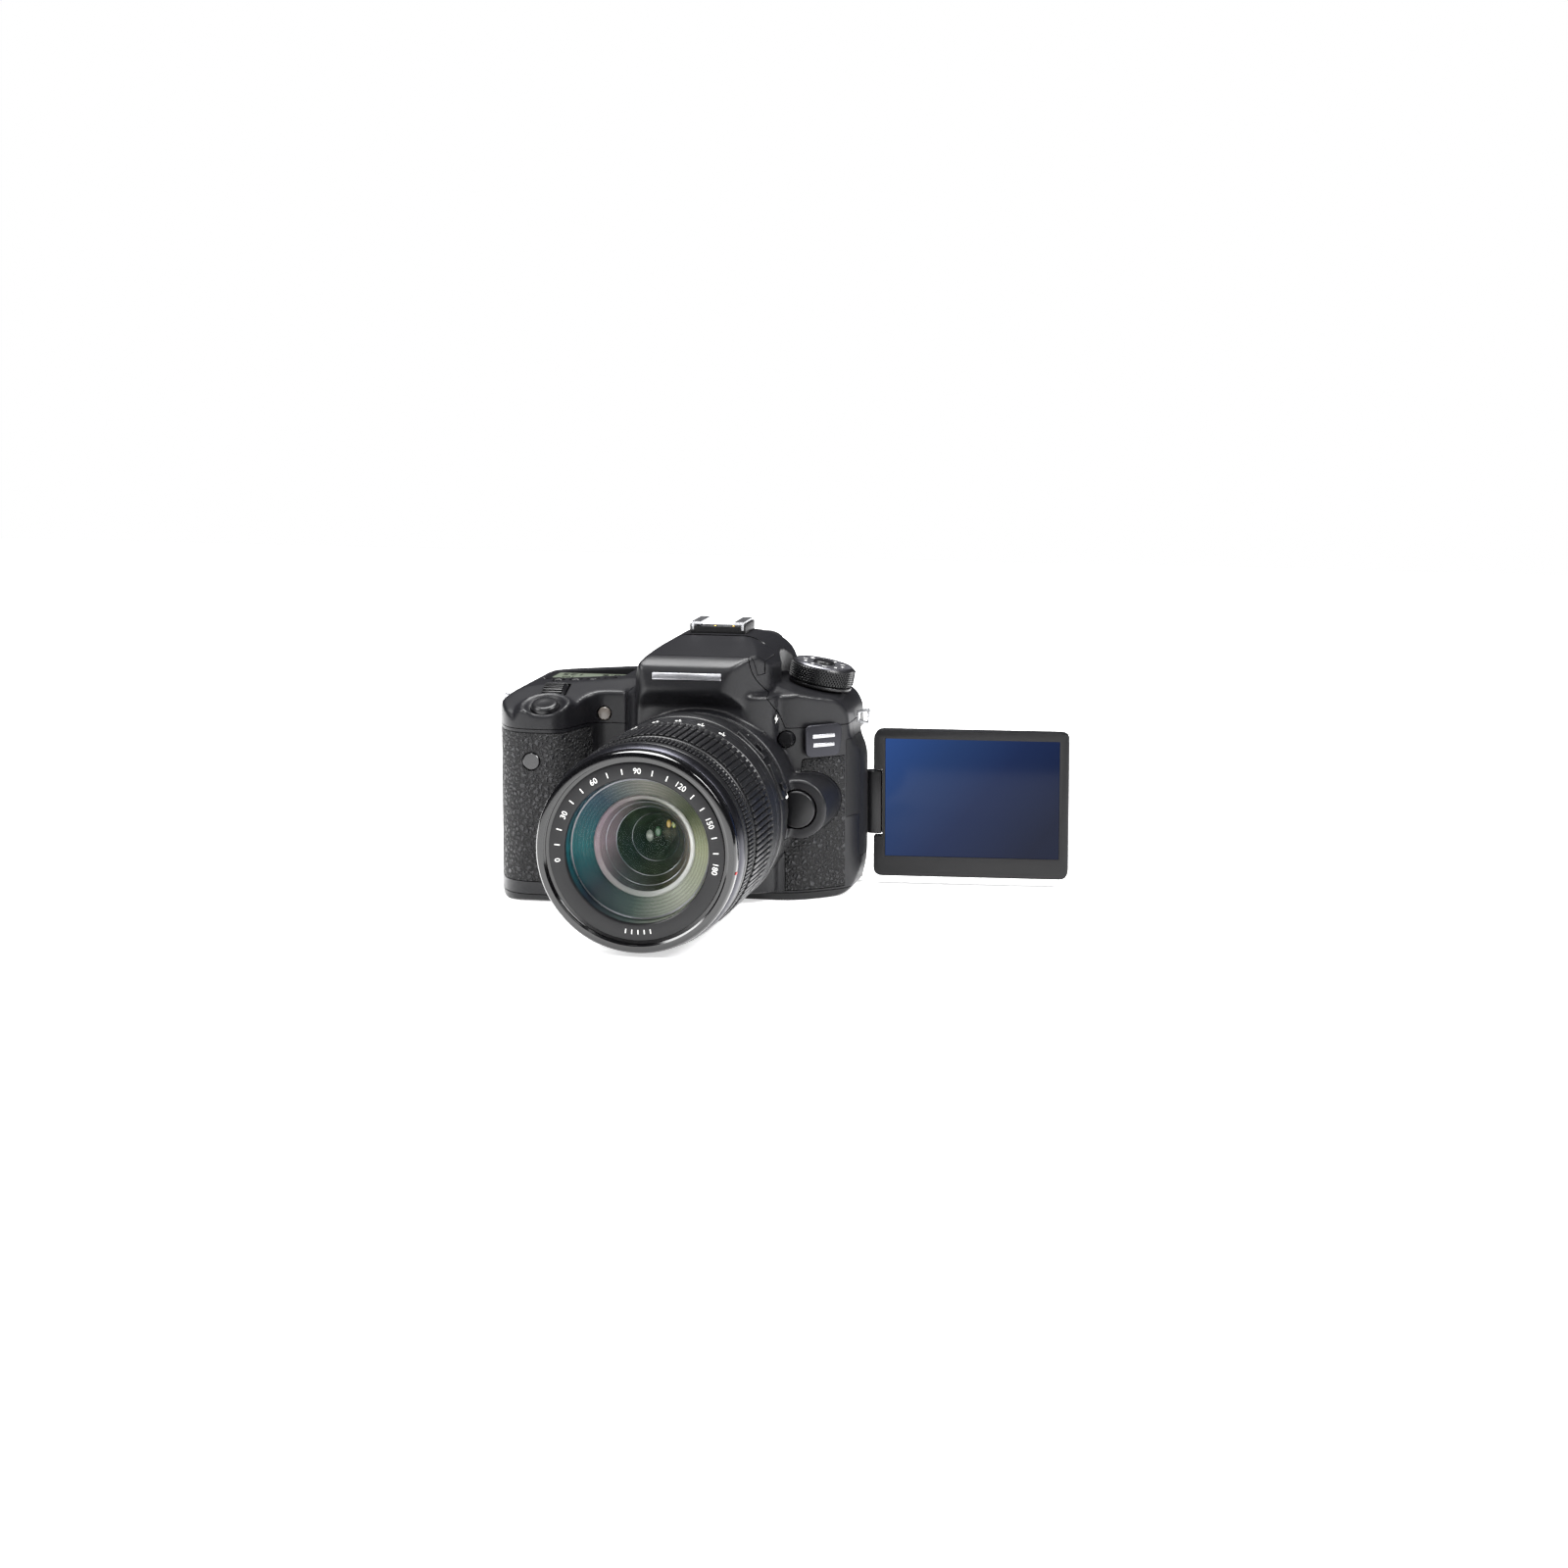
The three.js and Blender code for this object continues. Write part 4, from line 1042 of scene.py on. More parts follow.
@dataclass
class TopControls:
    """Shutter button, dials and keys on top of the body."""

    dial_at: tuple[float, float, float] = (38.5, 2.0, 79.6)
    dial_tilt: float = 11.0
    dial_radius: float = 12.7
    dial_top: float = 9.0
    studs: int = 64
    stud_rows: int = 7
    shutter_at: tuple[float, float, float] = (-59.0, -43.6, 73.6)
    shutter_tilt: float = 20.0

    def on_dial(self, shape: Solid) -> Solid:
        """Moves a shape that was drawn about the mode dial's axis to the dial."""
        turn = spun(self.dial_tilt, "Y")
        return shape.placed(Matrix.Translation(self.dial_at) @ turn)

    def mode_dial(self) -> None:
        """The mode dial: studded rim, bright bevel, dark top with generic signs, lock key."""
        top, r = self.dial_top, self.dial_radius
        wheel = turned([
            (4.4, 1.9), (r - 0.8, 1.9), (r - 0.5, 2.3), (r - 0.5, top - 1.1), (r - 0.7, top - 0.8),
            (r - 0.9, top - 0.5), (4.4, top - 0.5)])
        self.on_dial(wheel).piece("mode_dial_wheel", "mode_dial", CONTROL, ["mode_dial"], "cast_alloy")

        places = [
            turn @ shifted(0, 0, 2.75 + 0.82 * row)
            for row in range(self.stud_rows)
            for turn in around(self.studs, (row % 2) * 180 / self.studs)
        ]
        self.on_dial(repeated(self.stud(), places)).piece(
            "mode_dial_studs", "mode_dial", CONTROL, slot="control_plastic")
        bevel = turned([(r - 2.1, top - 0.5), (r - 1.0, top - 0.5), (r - 1.6, top), (r - 2.1, top)])
        self.on_dial(bevel).piece("mode_dial_bevel", "mode_dial", SATIN_BAND, slot="cast_alloy")
        face = turned([(4.4, top - 0.5), (r - 2.1, top - 0.5), (r - 2.1, top - 0.1), (4.4, top - 0.1)])
        self.on_dial(face).piece("mode_dial_face", "mode_dial", DIAL_TOP, slot="cast_alloy")
        self.dial_signs(top)
        lock = turned([
            (0, 2.2), (4, 2.2), (4, top + 0.3), (3.7, top + 0.7), (3.1, top + 0.85),
            (2.6, top + 0.7), (0, top + 0.7)], 64)
        self.on_dial(lock).piece("mode_dial_lock_cap", "mode_dial_lock", CONTROL,
                                 ["mode_dial_lock"], "control_plastic", 50.0)
        softened("power_switch", 0.4).piece(
            "power_lever", "power_switch", CONTROL, ["power_switch"], "control_plastic")

    def stud(self) -> Solid:
        """One four-sided point of the dial's grip, on its rim."""
        form = bmesh.new()
        bmesh.ops.create_cone(form, cap_ends=True, segments=4, radius1=0.62, radius2=0.12, depth=0.6)
        bmesh.ops.rotate(form, verts=form.verts, cent=(0, 0, 0),
                         matrix=Matrix.Rotation(math.pi / 2, 3, "Y"))
        bmesh.ops.translate(form, verts=form.verts, vec=(self.dial_radius - 0.3, 0, 0))
        return Solid(form)

    def dial_signs(self, top: float) -> None:
        """Generic signs round the dial: a figure and a small shape in turn."""
        shapes = (
            block((-0.7, -0.5, -0.06), (0.7, 0.5, 0.06)),
            drum(Axis.Z, (0, 0), 0.6, -0.06, 0.06, steps=20),
            block((-0.9, -0.2, -0.06), (0.9, 0.2, 0.06)),
            drum(Axis.Z, (0, 0), 0.6, -0.06, 0.06, steps=4),
            block((-0.25, -0.7, -0.06), (0.25, 0.7, 0.06)),
        )
        signs = [sign for k, shape in enumerate(shapes) for sign in (lettered(str(k + 1), 1.7), shape)]
        for sign, turn in zip(signs, around(len(signs), 12), strict=True):
            sign.placed(turn @ shifted(0, 7.6, top - 0.08))
        self.on_dial(gathered(signs)).piece("mode_dial_signs", "mode_dial", INK_WHITE, slot="cast_alloy")

    def shutter(self) -> None:
        """The shutter button, a dished cap in the collar of the grip."""
        r = 5.4
        cap = turned([
            (0, -2), (r, -2), (r, 1.9), (r - 0.25, 2.6), (r - 0.8, 3.1), (r - 1.6, 3.25),
            (r * 0.4, 3.0), (0, 2.9)], 72)
        cap.aimed(self.shutter_at, tilt(self.shutter_tilt, "X")).piece(
            "shutter_cap", "shutter_button", CONTROL, ["shutter_button"], "control_plastic", 50.0)

    def main_dial(self) -> None:
        """The wheel behind the shutter button, with ridges across its rim."""
        low, high = box_mm("main_dial")
        width = high.x - low.x
        at = ((low.x + high.x) / 2, (low.y + high.y) / 2, (low.z + high.z) / 2)
        turn = Matrix.Translation(at) @ spun(90, "Y")
        half, r = width / 2, 8.4
        wheel = turned([
            (0, -half), (r - 1.4, -half), (r - 0.6, -half + 0.8), (r - 0.6, half - 0.8), (r - 1.4, half),
            (0, half)], 64)
        wheel.placed(turn).piece("main_dial_wheel", "main_dial", CONTROL, ["main_dial"], "control_plastic")
        ridges = repeated(
            block((r - 0.9, -0.34, -half + 0.7), (r, 0.34, half - 0.7), 0.16), around(40))
        ridges.placed(turn).piece("main_dial_ridges", "main_dial", CONTROL, slot="control_plastic")

    def build(self) -> None:
        """Makes everything on top of the body."""
        self.mode_dial()
        self.shutter()
        self.main_dial()
        for node in ("af_button", "drive_button", "iso_button", "metering_button"):
            RoundKey(node, Press.UP, dome=0.15).build()
        self.top_display()

    def top_display(self) -> None:
        """The information display beside the grip: a window over a grey-green panel."""
        low, high = box_mm("top_display")
        frame_ring = prism(Axis.Z, (
            (low.x, low.y, 2), (high.x, low.y, 2), (high.x, high.y, 2), (low.x, high.y, 2)),
            low.z, high.z)
        field = prism(Axis.Z, (
            (low.x + 3, low.y + 2.6, 1), (high.x - 3, low.y + 2.6, 1), (high.x - 3, high.y - 2.6, 1),
            (low.x + 3, high.y - 2.6, 1)), high.z - 0.2, high.z + 0.06)
        frame_ring.cut(field).piece(
            "top_display_window", "camera_body", GLOSS, ["top_display"], "gloss_plastic")
        field.placed(shifted(0, 0, -0.02)).piece(
            "top_display_field", "camera_body", TOP_SCREEN, slot="gloss_plastic")
        figures = [("125", -60.0, 3.0, 4.6), ("5.6", -45.0, 3.0, 4.6), ("100", -60.5, -3.6, 2.6)]
        for k, (text, x, y, height) in enumerate(figures):
            sign = lettered(text, height, 0.08).placed(
                shifted(x, y, high.z + 0.08) @ spun(180))
            sign.piece(f"top_display_figures_{k + 1}", "camera_body", GLOSS, slot="gloss_plastic")


@dataclass
class RearControls:
    """Keys, quick dial, eyecup and eyepiece on the back."""

    dial_at: tuple[float, float] = (-52.0, 35.0)
    fixed_keys: tuple[tuple[str, float, float, float], ...] = (
        ("exposure_lock", -62.0, 71.5, 2.7), ("point_select", -72.5, 70.0, 2.7),
        ("quick_menu", -31.0, 56.0, 2.9), ("erase", -38.5, 9.6, 2.6))

    def on_back(self, shape: Solid, x: float, z: float, y: float) -> Solid:
        """Aims a shape that was drawn about Z at the back of the body."""
        return shape.aimed((x, y, z), (0, 1, 0))

    def quick_dial(self) -> None:
        """The large dial, with a ridged rim, round the eight-way ring and the set key."""
        x, z = self.dial_at
        wheel = turned([
            (9.35, 0), (13.6, 0), (13.6, 1.6), (13.1, 2.5), (12.4, 2.9), (10.6, 2.9), (9.8, 2.4),
            (9.35, 2.0)])
        self.on_back(wheel, x, z, 18.6).piece(
            "quick_dial_wheel", "quick_dial", CONTROL, ["quick_dial"], "control_plastic")
        ridges = repeated(
            block((11.0, -0.16, 2.5), (13.0, 0.16, 3.05), 0.12), around(72))
        self.on_back(ridges, x, z, 18.6).piece(
            "quick_dial_ridges", "quick_dial", CONTROL, slot="control_plastic")
        ring = turned([(4.55, 0), (9, 0), (9, 2.3), (8.6, 2.8), (6.6, 3.05), (4.9, 2.7), (4.55, 2.3)])
        self.on_back(ring, x, z, 18.8).piece(
            "multi_controller_ring", "multi_controller", CONTROL, ["multi_controller"], "control_plastic")
        arrows = repeated(
            drum(Axis.Z, (7.2, 0), 0.55, 2.95, 3.1, steps=3), around(8))
        self.on_back(arrows, x, z, 18.8).piece(
            "multi_controller_arrows", "multi_controller", INK_GREY, slot="control_plastic")
        key = turned([(0, 0), (4.2, 0), (4.2, 2.6), (3.8, 3.1), (2.2, 3.2), (0, 3.1)], 64)
        self.on_back(key, x, z, 18.8).piece(
            "set_key", "set_button", CONTROL, ["set_button"], "control_plastic", 50.0)

    def eyepiece(self) -> None:
        """The rubber eyecup and the glass of the viewfinder."""
        def ring(half: float, low: float, high: float, size: float) -> tuple[Corner, ...]:
            """Returns a rounded rectangle of the eyepiece."""
            return (
                (-half, low, size), (half, low, size), (half, high, size), (-half, high, size))

        cup = prism(Axis.Y, ring(20, 71.5, 97, 8), 20.35, 28.5)
        cup.cut(prism(Axis.Y, ring(12.2, 76.2, 93, 4), -FAR, FAR))
        flare = prism(Axis.Y, ring(14.5, 74.0, 95.2, 6), 26.4, FAR)
        cup.cut(flare).moulded(0.4, 8).piece(
            "eyecup_rubber", "camera_body", SOFT_RUBBER, ["eyecup"], "grip_rubber")
        block((-11, 12.4, 77.5), (11, 15, 92), 0.8).piece(
            "eyepiece_window", "camera_body", CLEAR, ["eyepiece_lens"], "clear_glass")

    def build(self) -> None:
        """Makes everything on the back."""
        self.quick_dial()
        self.eyepiece()
        for node in REAR_KEYS:
            RoundKey(node, Press.BACK).build()
        for name, x, z, radius in self.fixed_keys:
            key = turned([
                (0, -1), (radius, -1), (radius, 0.7), (radius - 0.4, 1.1), (radius * 0.5, 1.3),
                (0, 1.3)], 40)
            y = 23.5 if -79 < x < -62 and z < 66 else 20.0
            self.on_back(key, x, z, y).piece(
                f"{name}_key", "camera_body", CONTROL, slot="control_plastic", crease=50.0)


# ---------------------------------------------------------------- lens


@dataclass
class ZoomLens:
    """The lens, drawn about its axis with heights measured forwards from the sensor plane."""

    wide_ribs: int = 100
    fine_ribs: int = 150
    front: float = 140.0
    focal_lengths: tuple[str, ...] = ("20", "28", "35", "50", "85", "120")

    def on_axis(self, shape: Solid) -> Solid:
        """Turns a shape that was drawn about Z so that it points forwards on the lens axis."""
        return shape.placed(
            shifted(0, 0, LENS_Z) @ spun(90, "X"))

    def turned_piece(self, name: str, body: str, finish: Finish, profile: Profile,
                     replaces: Sequence[str] = (), slot: str = "lens_plastic") -> None:
        """Makes one turned piece on the lens axis.

        Args:
            name: the piece's name.
            body: the body that it rides on.
            finish: its surface.
            profile: radius and height ahead of the sensor plane, in order.
            replaces: the CAD nodes that it stands for.
            slot: the record's material slot.
        """
        self.on_axis(turned(profile, 144)).piece(name, body, finish, replaces, slot)

    def marks(self, name: str, body: str, marks: Sequence[Solid], angles: Sequence[float],
              radius: float, height: float) -> None:
        """Puts flat white marks on a barrel: each is drawn on XY and laid on the cylinder.

        Args:
            name: the piece's name.
            body: the body that it rides on.
            marks: the marks, which are used up.
            angles: the place of each mark, in degrees from +X towards +Z.
            radius: the radius of the barrel there.
            height: the middle of the marks ahead of the sensor plane.
        """
        lay = Matrix(((0, 0, 1, 0), (1, 0, 0, 0), (0, 1, 0, 0), (0, 0, 0, 1)))
        for mark, angle in zip(marks, angles, strict=True):
            mark.placed(spun(angle) @ shifted(radius, 0, height) @ lay)
        self.on_axis(gathered(marks)).piece(name, body, INK_WHITE, slot="lens_plastic")

    def barrel(self) -> None:
        """The fixed rear barrel with its switches and index mark."""
        self.turned_piece("fixed_barrel", "lens", BARREL, [
            (22.4, 47.4), (33, 47.4), (33, 44.6), (35.2, 44.6), (35.8, 45.0), (36.2, 48.0),
            (36.7, 52.0), (37.4, 54.8), (38.1, 57.0), (38.25, 57.6), (38.25, 66.2), (38.0, 66.8),
            (37.6, 67.1), (33.4, 67.1), (33.4, 126.6), (31.4, 126.6), (31.4, 52), (22.4, 52)],
            ["lens_barrel"])
        pads = [
            self.on_axis(block((35.5, -7, 57.7), (38.75, 7, 65.9), 0.6).placed(
                spun(angle)))
            for angle in (47, 22)
        ]
        pads[0].add(pads[1]).piece("switch_pads", "lens", BARREL, slot="lens_plastic")
        for node in ("focus_mode_switch", "stabilizer_switch"):
            softened(node, 0.25).piece(node + "_slider", node, CONTROL, [node], "lens_plastic")
        dashes = [block((-0.9, -0.22, -0.06), (0.9, 0.22, 0.06)) for _ in range(4)]
        self.marks("switch_marks", "lens", dashes, (39.5, 53.5, 14.5, 28.5), 38.86, 60.2)
        dots = [drum(Axis.Z, (0, 0), 0.4, -0.06, 0.06, steps=16) for _ in range(2)]
        self.marks("switch_dots", "lens", dots, (56.5, 31.5), 38.84, 63.5)
        index = block((-0.9, -1.9, -0.25), (0.9, 1.9, 0.25), 0.2)
        self.marks("mount_index", "lens", [index], (10.5,), 37.4, 53.0)

    def zoom(self) -> None:
        """The zoom ring: smooth collar with focal lengths, bright line, wide ribs."""
        self.turned_piece("zoom_grip", "zoom_ring", RING_RUBBER, [
            (33.8, 67.6), (37.6, 67.6), (38.05, 68.0), (38.1, 73.2), (37.9, 73.4), (37.9, 74.0),
            (38.1, 74.2), (38.1, 81.8), (37.7, 82.2), (37.3, 82.6), (37.3, 110.6), (37.7, 111.0),
            (37.8, 112.5), (37.5, 112.9), (33.8, 112.9)], ["zoom_ring"], "lens_rubber")
        self.turned_piece("zoom_bright_line", "zoom_ring", SATIN_BAND, [
            (37.7, 73.3), (38.2, 73.3), (38.2, 74.1), (37.7, 74.1)])
        for name, low, high in (("long", 91.4, 110.4), ("short", 83.0, 90.6)):
            rib = block((37.0, -0.82, low), (38.3, 0.82, high), 0.22)
            self.on_axis(repeated(rib, around(self.wide_ribs))).piece(
                f"zoom_ribs_{name}", "zoom_ring", RING_RUBBER, slot="lens_rubber")
        angles = [62 + 13 * k for k in range(len(self.focal_lengths))]
        figures = [lettered(text, 2.0) for text in self.focal_lengths]
        self.marks("zoom_figures", "zoom_ring", figures, angles, 38.12, 78.2)
        ticks = [block((-0.16, -0.7, -0.06), (0.16, 0.7, 0.06)) for _ in angles]
        self.marks("zoom_ticks", "zoom_ring", ticks, angles, 38.12, 75.6)

    def focus(self) -> None:
        """The focus ring with its fine ribs."""
        self.turned_piece("focus_grip", "focus_ring", RING_RUBBER, [
            (33.8, 113.3), (37.2, 113.3), (37.5, 113.7), (37.5, 114.1), (37.1, 114.5), (37.1, 122.7),
            (37.5, 123.1), (37.7, 124.0), (37.6, 126.4), (37.3, 126.9), (33.8, 126.9)],
            ["focus_ring"], "lens_rubber")
        rib = block((36.8, -0.5, 114.6), (38.0, 0.5, 122.6), 0.2)
        self.on_axis(repeated(rib, around(self.fine_ribs))).piece(
            "focus_ribs", "focus_ring", RING_RUBBER, slot="lens_rubber")

    def front_group(self) -> None:
        """The front barrel, its bands and thread, and the ring round the glass."""
        f = self.front
        thread = []
        for k in range(4):
            z = f - 0.5 - 0.4 * k
            thread += [(33.9, z), (33.6, z - 0.2)]
        self.turned_piece("front_tube", "lens_front", GLOSS, [
            (29.4, 70), (31, 70), (31, 127.4), (36.9, 127.4), (37.3, 127.7), (37.3, 128.6),
            (37.7, 129.0), (37.9, 129.3), (36.75, 134.4), (36.2, 134.8), (36.2, 135.3),
            (36.9, 135.6), (37.05, 136.6), (37.0, 138.0), (36.7, 139.2), (36.2, 139.8), (35.4, f),
            (34.2, f), (33.9, 139.8), *thread, (33.5, 137.9), (31.9, 137.7), (31.9, 128.6),
            (24, 128.6), (24, 124), (29.4, 122)],
            ["front_barrel"], "gloss_plastic")
        self.turned_piece("front_satin_band", "lens_front", RIM_BAND, [
            (37.4, 129.55), (37.95, 129.6), (37.97, 129.8), (36.9, 134.1), (36.8, 134.2),
            (36.3, 134.0)], slot="gloss_plastic")
        self.turned_piece("front_bright_line", "lens_front", SATIN_BAND, [
            (36.8, 127.8), (37.45, 127.9), (37.45, 128.4), (36.8, 128.5)], slot="gloss_plastic")
        self.turned_piece("front_name_ring", "lens_front", BARREL, [
            (26.4, 132.0), (31.8, 132.0), (32.2, 138.35), (31.6, 138.5), (26.9, 138.1), (26.5, 137.8),
            (26.3, 137.2)], slot="gloss_plastic")
        self.ring_scale()
        self.on_axis(block((36.9, -0.5, 137.0), (37.22, 0.5, 139.0), 0.1).placed(
            spun(-10))).piece(
                "hood_index", "lens_front", INK_RED, slot="gloss_plastic")

    def ring_scale(self) -> None:
        """A generic scale on the front ring: figures and ticks, as on a filter's turning ring."""
        upright = shifted(29.2, 0, 138.42) @ spun(-90)
        marks = []
        for k in range(19):
            mark = (lettered(str(10 * k), 2.2) if k % 3 == 0
                    else block((-0.18, -1.0, -0.06), (0.18, 1.0, 0.06)))
            marks.append(mark.placed(spun(188 - 11 * k) @ upright))
        for k in range(5):
            mark = block((-0.18, -0.8, -0.06), (0.18, 0.8, 0.06))
            marks.append(mark.placed(spun(-98 + 4.5 * k) @ upright))
        self.on_axis(gathered(marks)).piece(
            "front_scale", "lens_front", INK_WHITE, slot="gloss_plastic")

    def optics(self) -> None:
        """The glass and, behind it, the stepped cells and the coated elements, with painted reflections
        and painted glints in their colours.
        """
        # painted reflections: each cell's colour changes round the axis to paint the coatings'
        # reflections, teal to the left and grey-green to the lower right, with painted shade in steps
        outer = AroundLens("front_cell_painted_reflections", "#4a5650", 0.35, ior=1.2, stops=(
            (0.0, "#1d555c"), (0.12, "#141d2a"), (0.22, "#3f4a48"), (0.36, "#95988a"),
            (0.5, "#85886c"), (0.6, "#3c3f2c"), (0.74, "#6f6d67"), (0.86, "#33424f"),
            (1.0, "#1d555c")))
        inner = AroundLens("inner_cell_painted_reflections", "#6b6458", 0.35, ior=1.2, stops=(
            (0.0, "#a08c95"), (0.15, "#56545a"), (0.3, "#1d1b14"), (0.5, "#7d7262"),
            (0.75, "#1e1d1a"), (0.9, "#7d6f76"), (1.0, "#a08c95")))
        deep = AroundLens("rear_cell_painted_reflections", "#23281c", 0.3, ior=1.2, ring=0.6, stops=(
            (0.0, "#232b1c"), (0.3, "#0c0d08"), (0.5, "#5c5142"), (0.75, "#14140f"),
            (1.0, "#232b1c")))
        # the pale rim: its own pale grey, with painted light brighter to the right and lower right and a
        # painted pink reflection to the left
        band = AroundLens("pale_cell_rim_painted_light", "#a9a8a6", 0.35, ior=1.3, ring=40.0, stops=(
            (0.0, "#a48f98"), (0.2, "#9a9a98"), (0.35, "#c9cac6"), (0.52, "#dcdcd6"),
            (0.7, "#8a8a84"), (0.88, "#83737c"), (1.0, "#a48f98")))
        self.turned_piece("front_cell", "lens_front", outer, [
            (26.3, 136.4), (26.3, 132.0), (25.8, 131.8), (23.6, 129.6), (18.6, 125.8), (18.6, 124.4),
            (26.6, 124.4), (27.2, 136.4)], slot="gloss_plastic")
        self.turned_piece("cell_bright_edge", "lens_front", SATIN_BAND, [
            (25.2, 132.2), (25.55, 132.4), (25.55, 132.7), (25.1, 132.5)], slot="gloss_plastic")
        self.turned_piece("cell_pale_rim", "lens_front", band, [
            (16.9, 125.4), (18.2, 126.4), (18.7, 126.2), (18.7, 124.2), (16.9, 124.0)],
            slot="gloss_plastic")
        self.turned_piece("inner_cell", "lens_front", inner, [
            (16.9, 125.2), (12.9, 116.4), (12.9, 114.8), (19.0, 114.8), (19.0, 124.0), (16.9, 124.0)],
            slot="gloss_plastic")
        for name, radius, z in (("first", 15.3, 121.8), ("second", 12.7, 116.5), ("third", 8.8, 108.4)):
            self.turned_piece(f"cell_{name}_line", "lens_front", SATIN_BAND, [
                (radius - 0.12, z), (radius + 0.12, z + 0.12), (radius + 0.3, z - 0.2),
                (radius, z - 0.3)], slot="gloss_plastic")
        self.turned_piece("rear_cell", "lens_front", deep, [
            (12.9, 116.2), (8.9, 108.2), (8.9, 106.6), (5.2, 99.4), (0.0, 98.4), (0.0, 96.8),
            (14.0, 96.8), (14.0, 115.0), (12.9, 115.0)], slot="gloss_plastic")
        # painted glints: small beads in amber, olive, pale and green stand in for coloured reflections
        # deep in the lens
        glints = (
            ("amber", "#c9a227", 1.25, 3.9, 4.3, 104.4), ("olive", "#8e9a2e", 1.1, 6.0, 4.2, 105.4),
            ("pale", "#8f988a", 1.9, -3.4, -0.4, 104.0), ("green", "#3f6a46", 1.6, -0.6, 1.0, 102.6))
        for name, colour, radius, x, z, ahead in glints:
            gleam = Finish(f"{name}_painted_glint", colour, 0.2, coat=0.6)
            edge = radius * 0.7
            bead = turned([(0, -0.5), (edge, -0.4), (radius, 0), (edge, 0.4), (0, 0.5)], 32)
            bead.placed(shifted(x, z, ahead) @ Matrix.Diagonal((0.75, 1.15, 1.0, 1.0)))
            self.on_axis(bead).piece(
                f"{name}_gleam", "lens_front", gleam, slot="coated_glass")
        self.turned_piece("front_glass", "lens_front", FRONT_GLASS, [
            (0, 137.3), (4, 137.22), (8, 136.98), (12, 136.57), (16, 135.98), (20, 135.2),
            (24, 134.2), (26.1, 133.5), (26.1, 132.6), (18, 134.6), (9, 136.0), (0, 136.4)],
            ["front_element"], "coated_glass")

    def build(self) -> None:
        """Makes the whole lens."""
        self.barrel()
        self.zoom()
        self.focus()
        self.front_group()
        self.optics()
        clear_tools()


# ---------------------------------------------------------------- display


@dataclass
class SwingDisplay:
    """The display panel and its hinge, placed by their CAD nodes."""

    yaw: float = 4.4
    axis_at: tuple[float, float] = (57.0, 16.0)
    back: float = 1.85

    def on_panel(self, shape: Solid) -> Solid:
        """Moves a shape that was drawn along the panel from the hinge to its place."""
        turn = spun(self.yaw)
        return shape.placed(Matrix.Translation((*self.axis_at, 0)) @ turn)

    def build(self) -> None:
        """Makes the panel, screen, hinge and the small fittings of the panel."""
        softened("display_housing", 0.75, segments=4).piece(
            "display_shell", "display_panel", BEZEL, ["display_housing"], "body_plastic")
        softened("display_glass", 0.12).piece(
            "display_screen", "display_panel", SCREEN, ["display_glass"], "screen_glass")
        softened("display_hinge", 0.5).piece(
            "hinge_block", "display_hinge", PLASTIC_DARK, ["display_hinge"], "control_plastic")
        inset_panel = prism(Axis.Y, (
            (9, 9, 3), (70, 9, 3), (70, 56, 3), (9, 56, 3)), self.back - 0.25, self.back + 0.25)
        self.on_panel(inset_panel).piece(
            "display_back_plate", "display_panel", PLASTIC, slot="body_plastic")
        screws = repeated(screw_head(), [
            shifted(x, self.back + 0.05, z) @ spun(-90, "X")
            for x, z in ((12, 6.4), (67, 6.4), (12, 58.6), (67, 58.6))])
        self.on_panel(screws).piece("display_screws", "display_panel", STEEL, slot="bright_steel")
        clear_tools()


def screw_head() -> Solid:
    """A small crossed screw head about Z, with its rim at the origin."""
    head = turned([(0, -0.6), (1.25, -0.6), (1.25, 0.15), (1.0, 0.35), (0, 0.42)], 32)
    return head.cut(
        block((-0.85, -0.16, 0.05), (0.85, 0.16, 1)), block((-0.16, -0.85, 0.05), (0.16, 0.85, 1)))


# ---------------------------------------------------------------- fittings


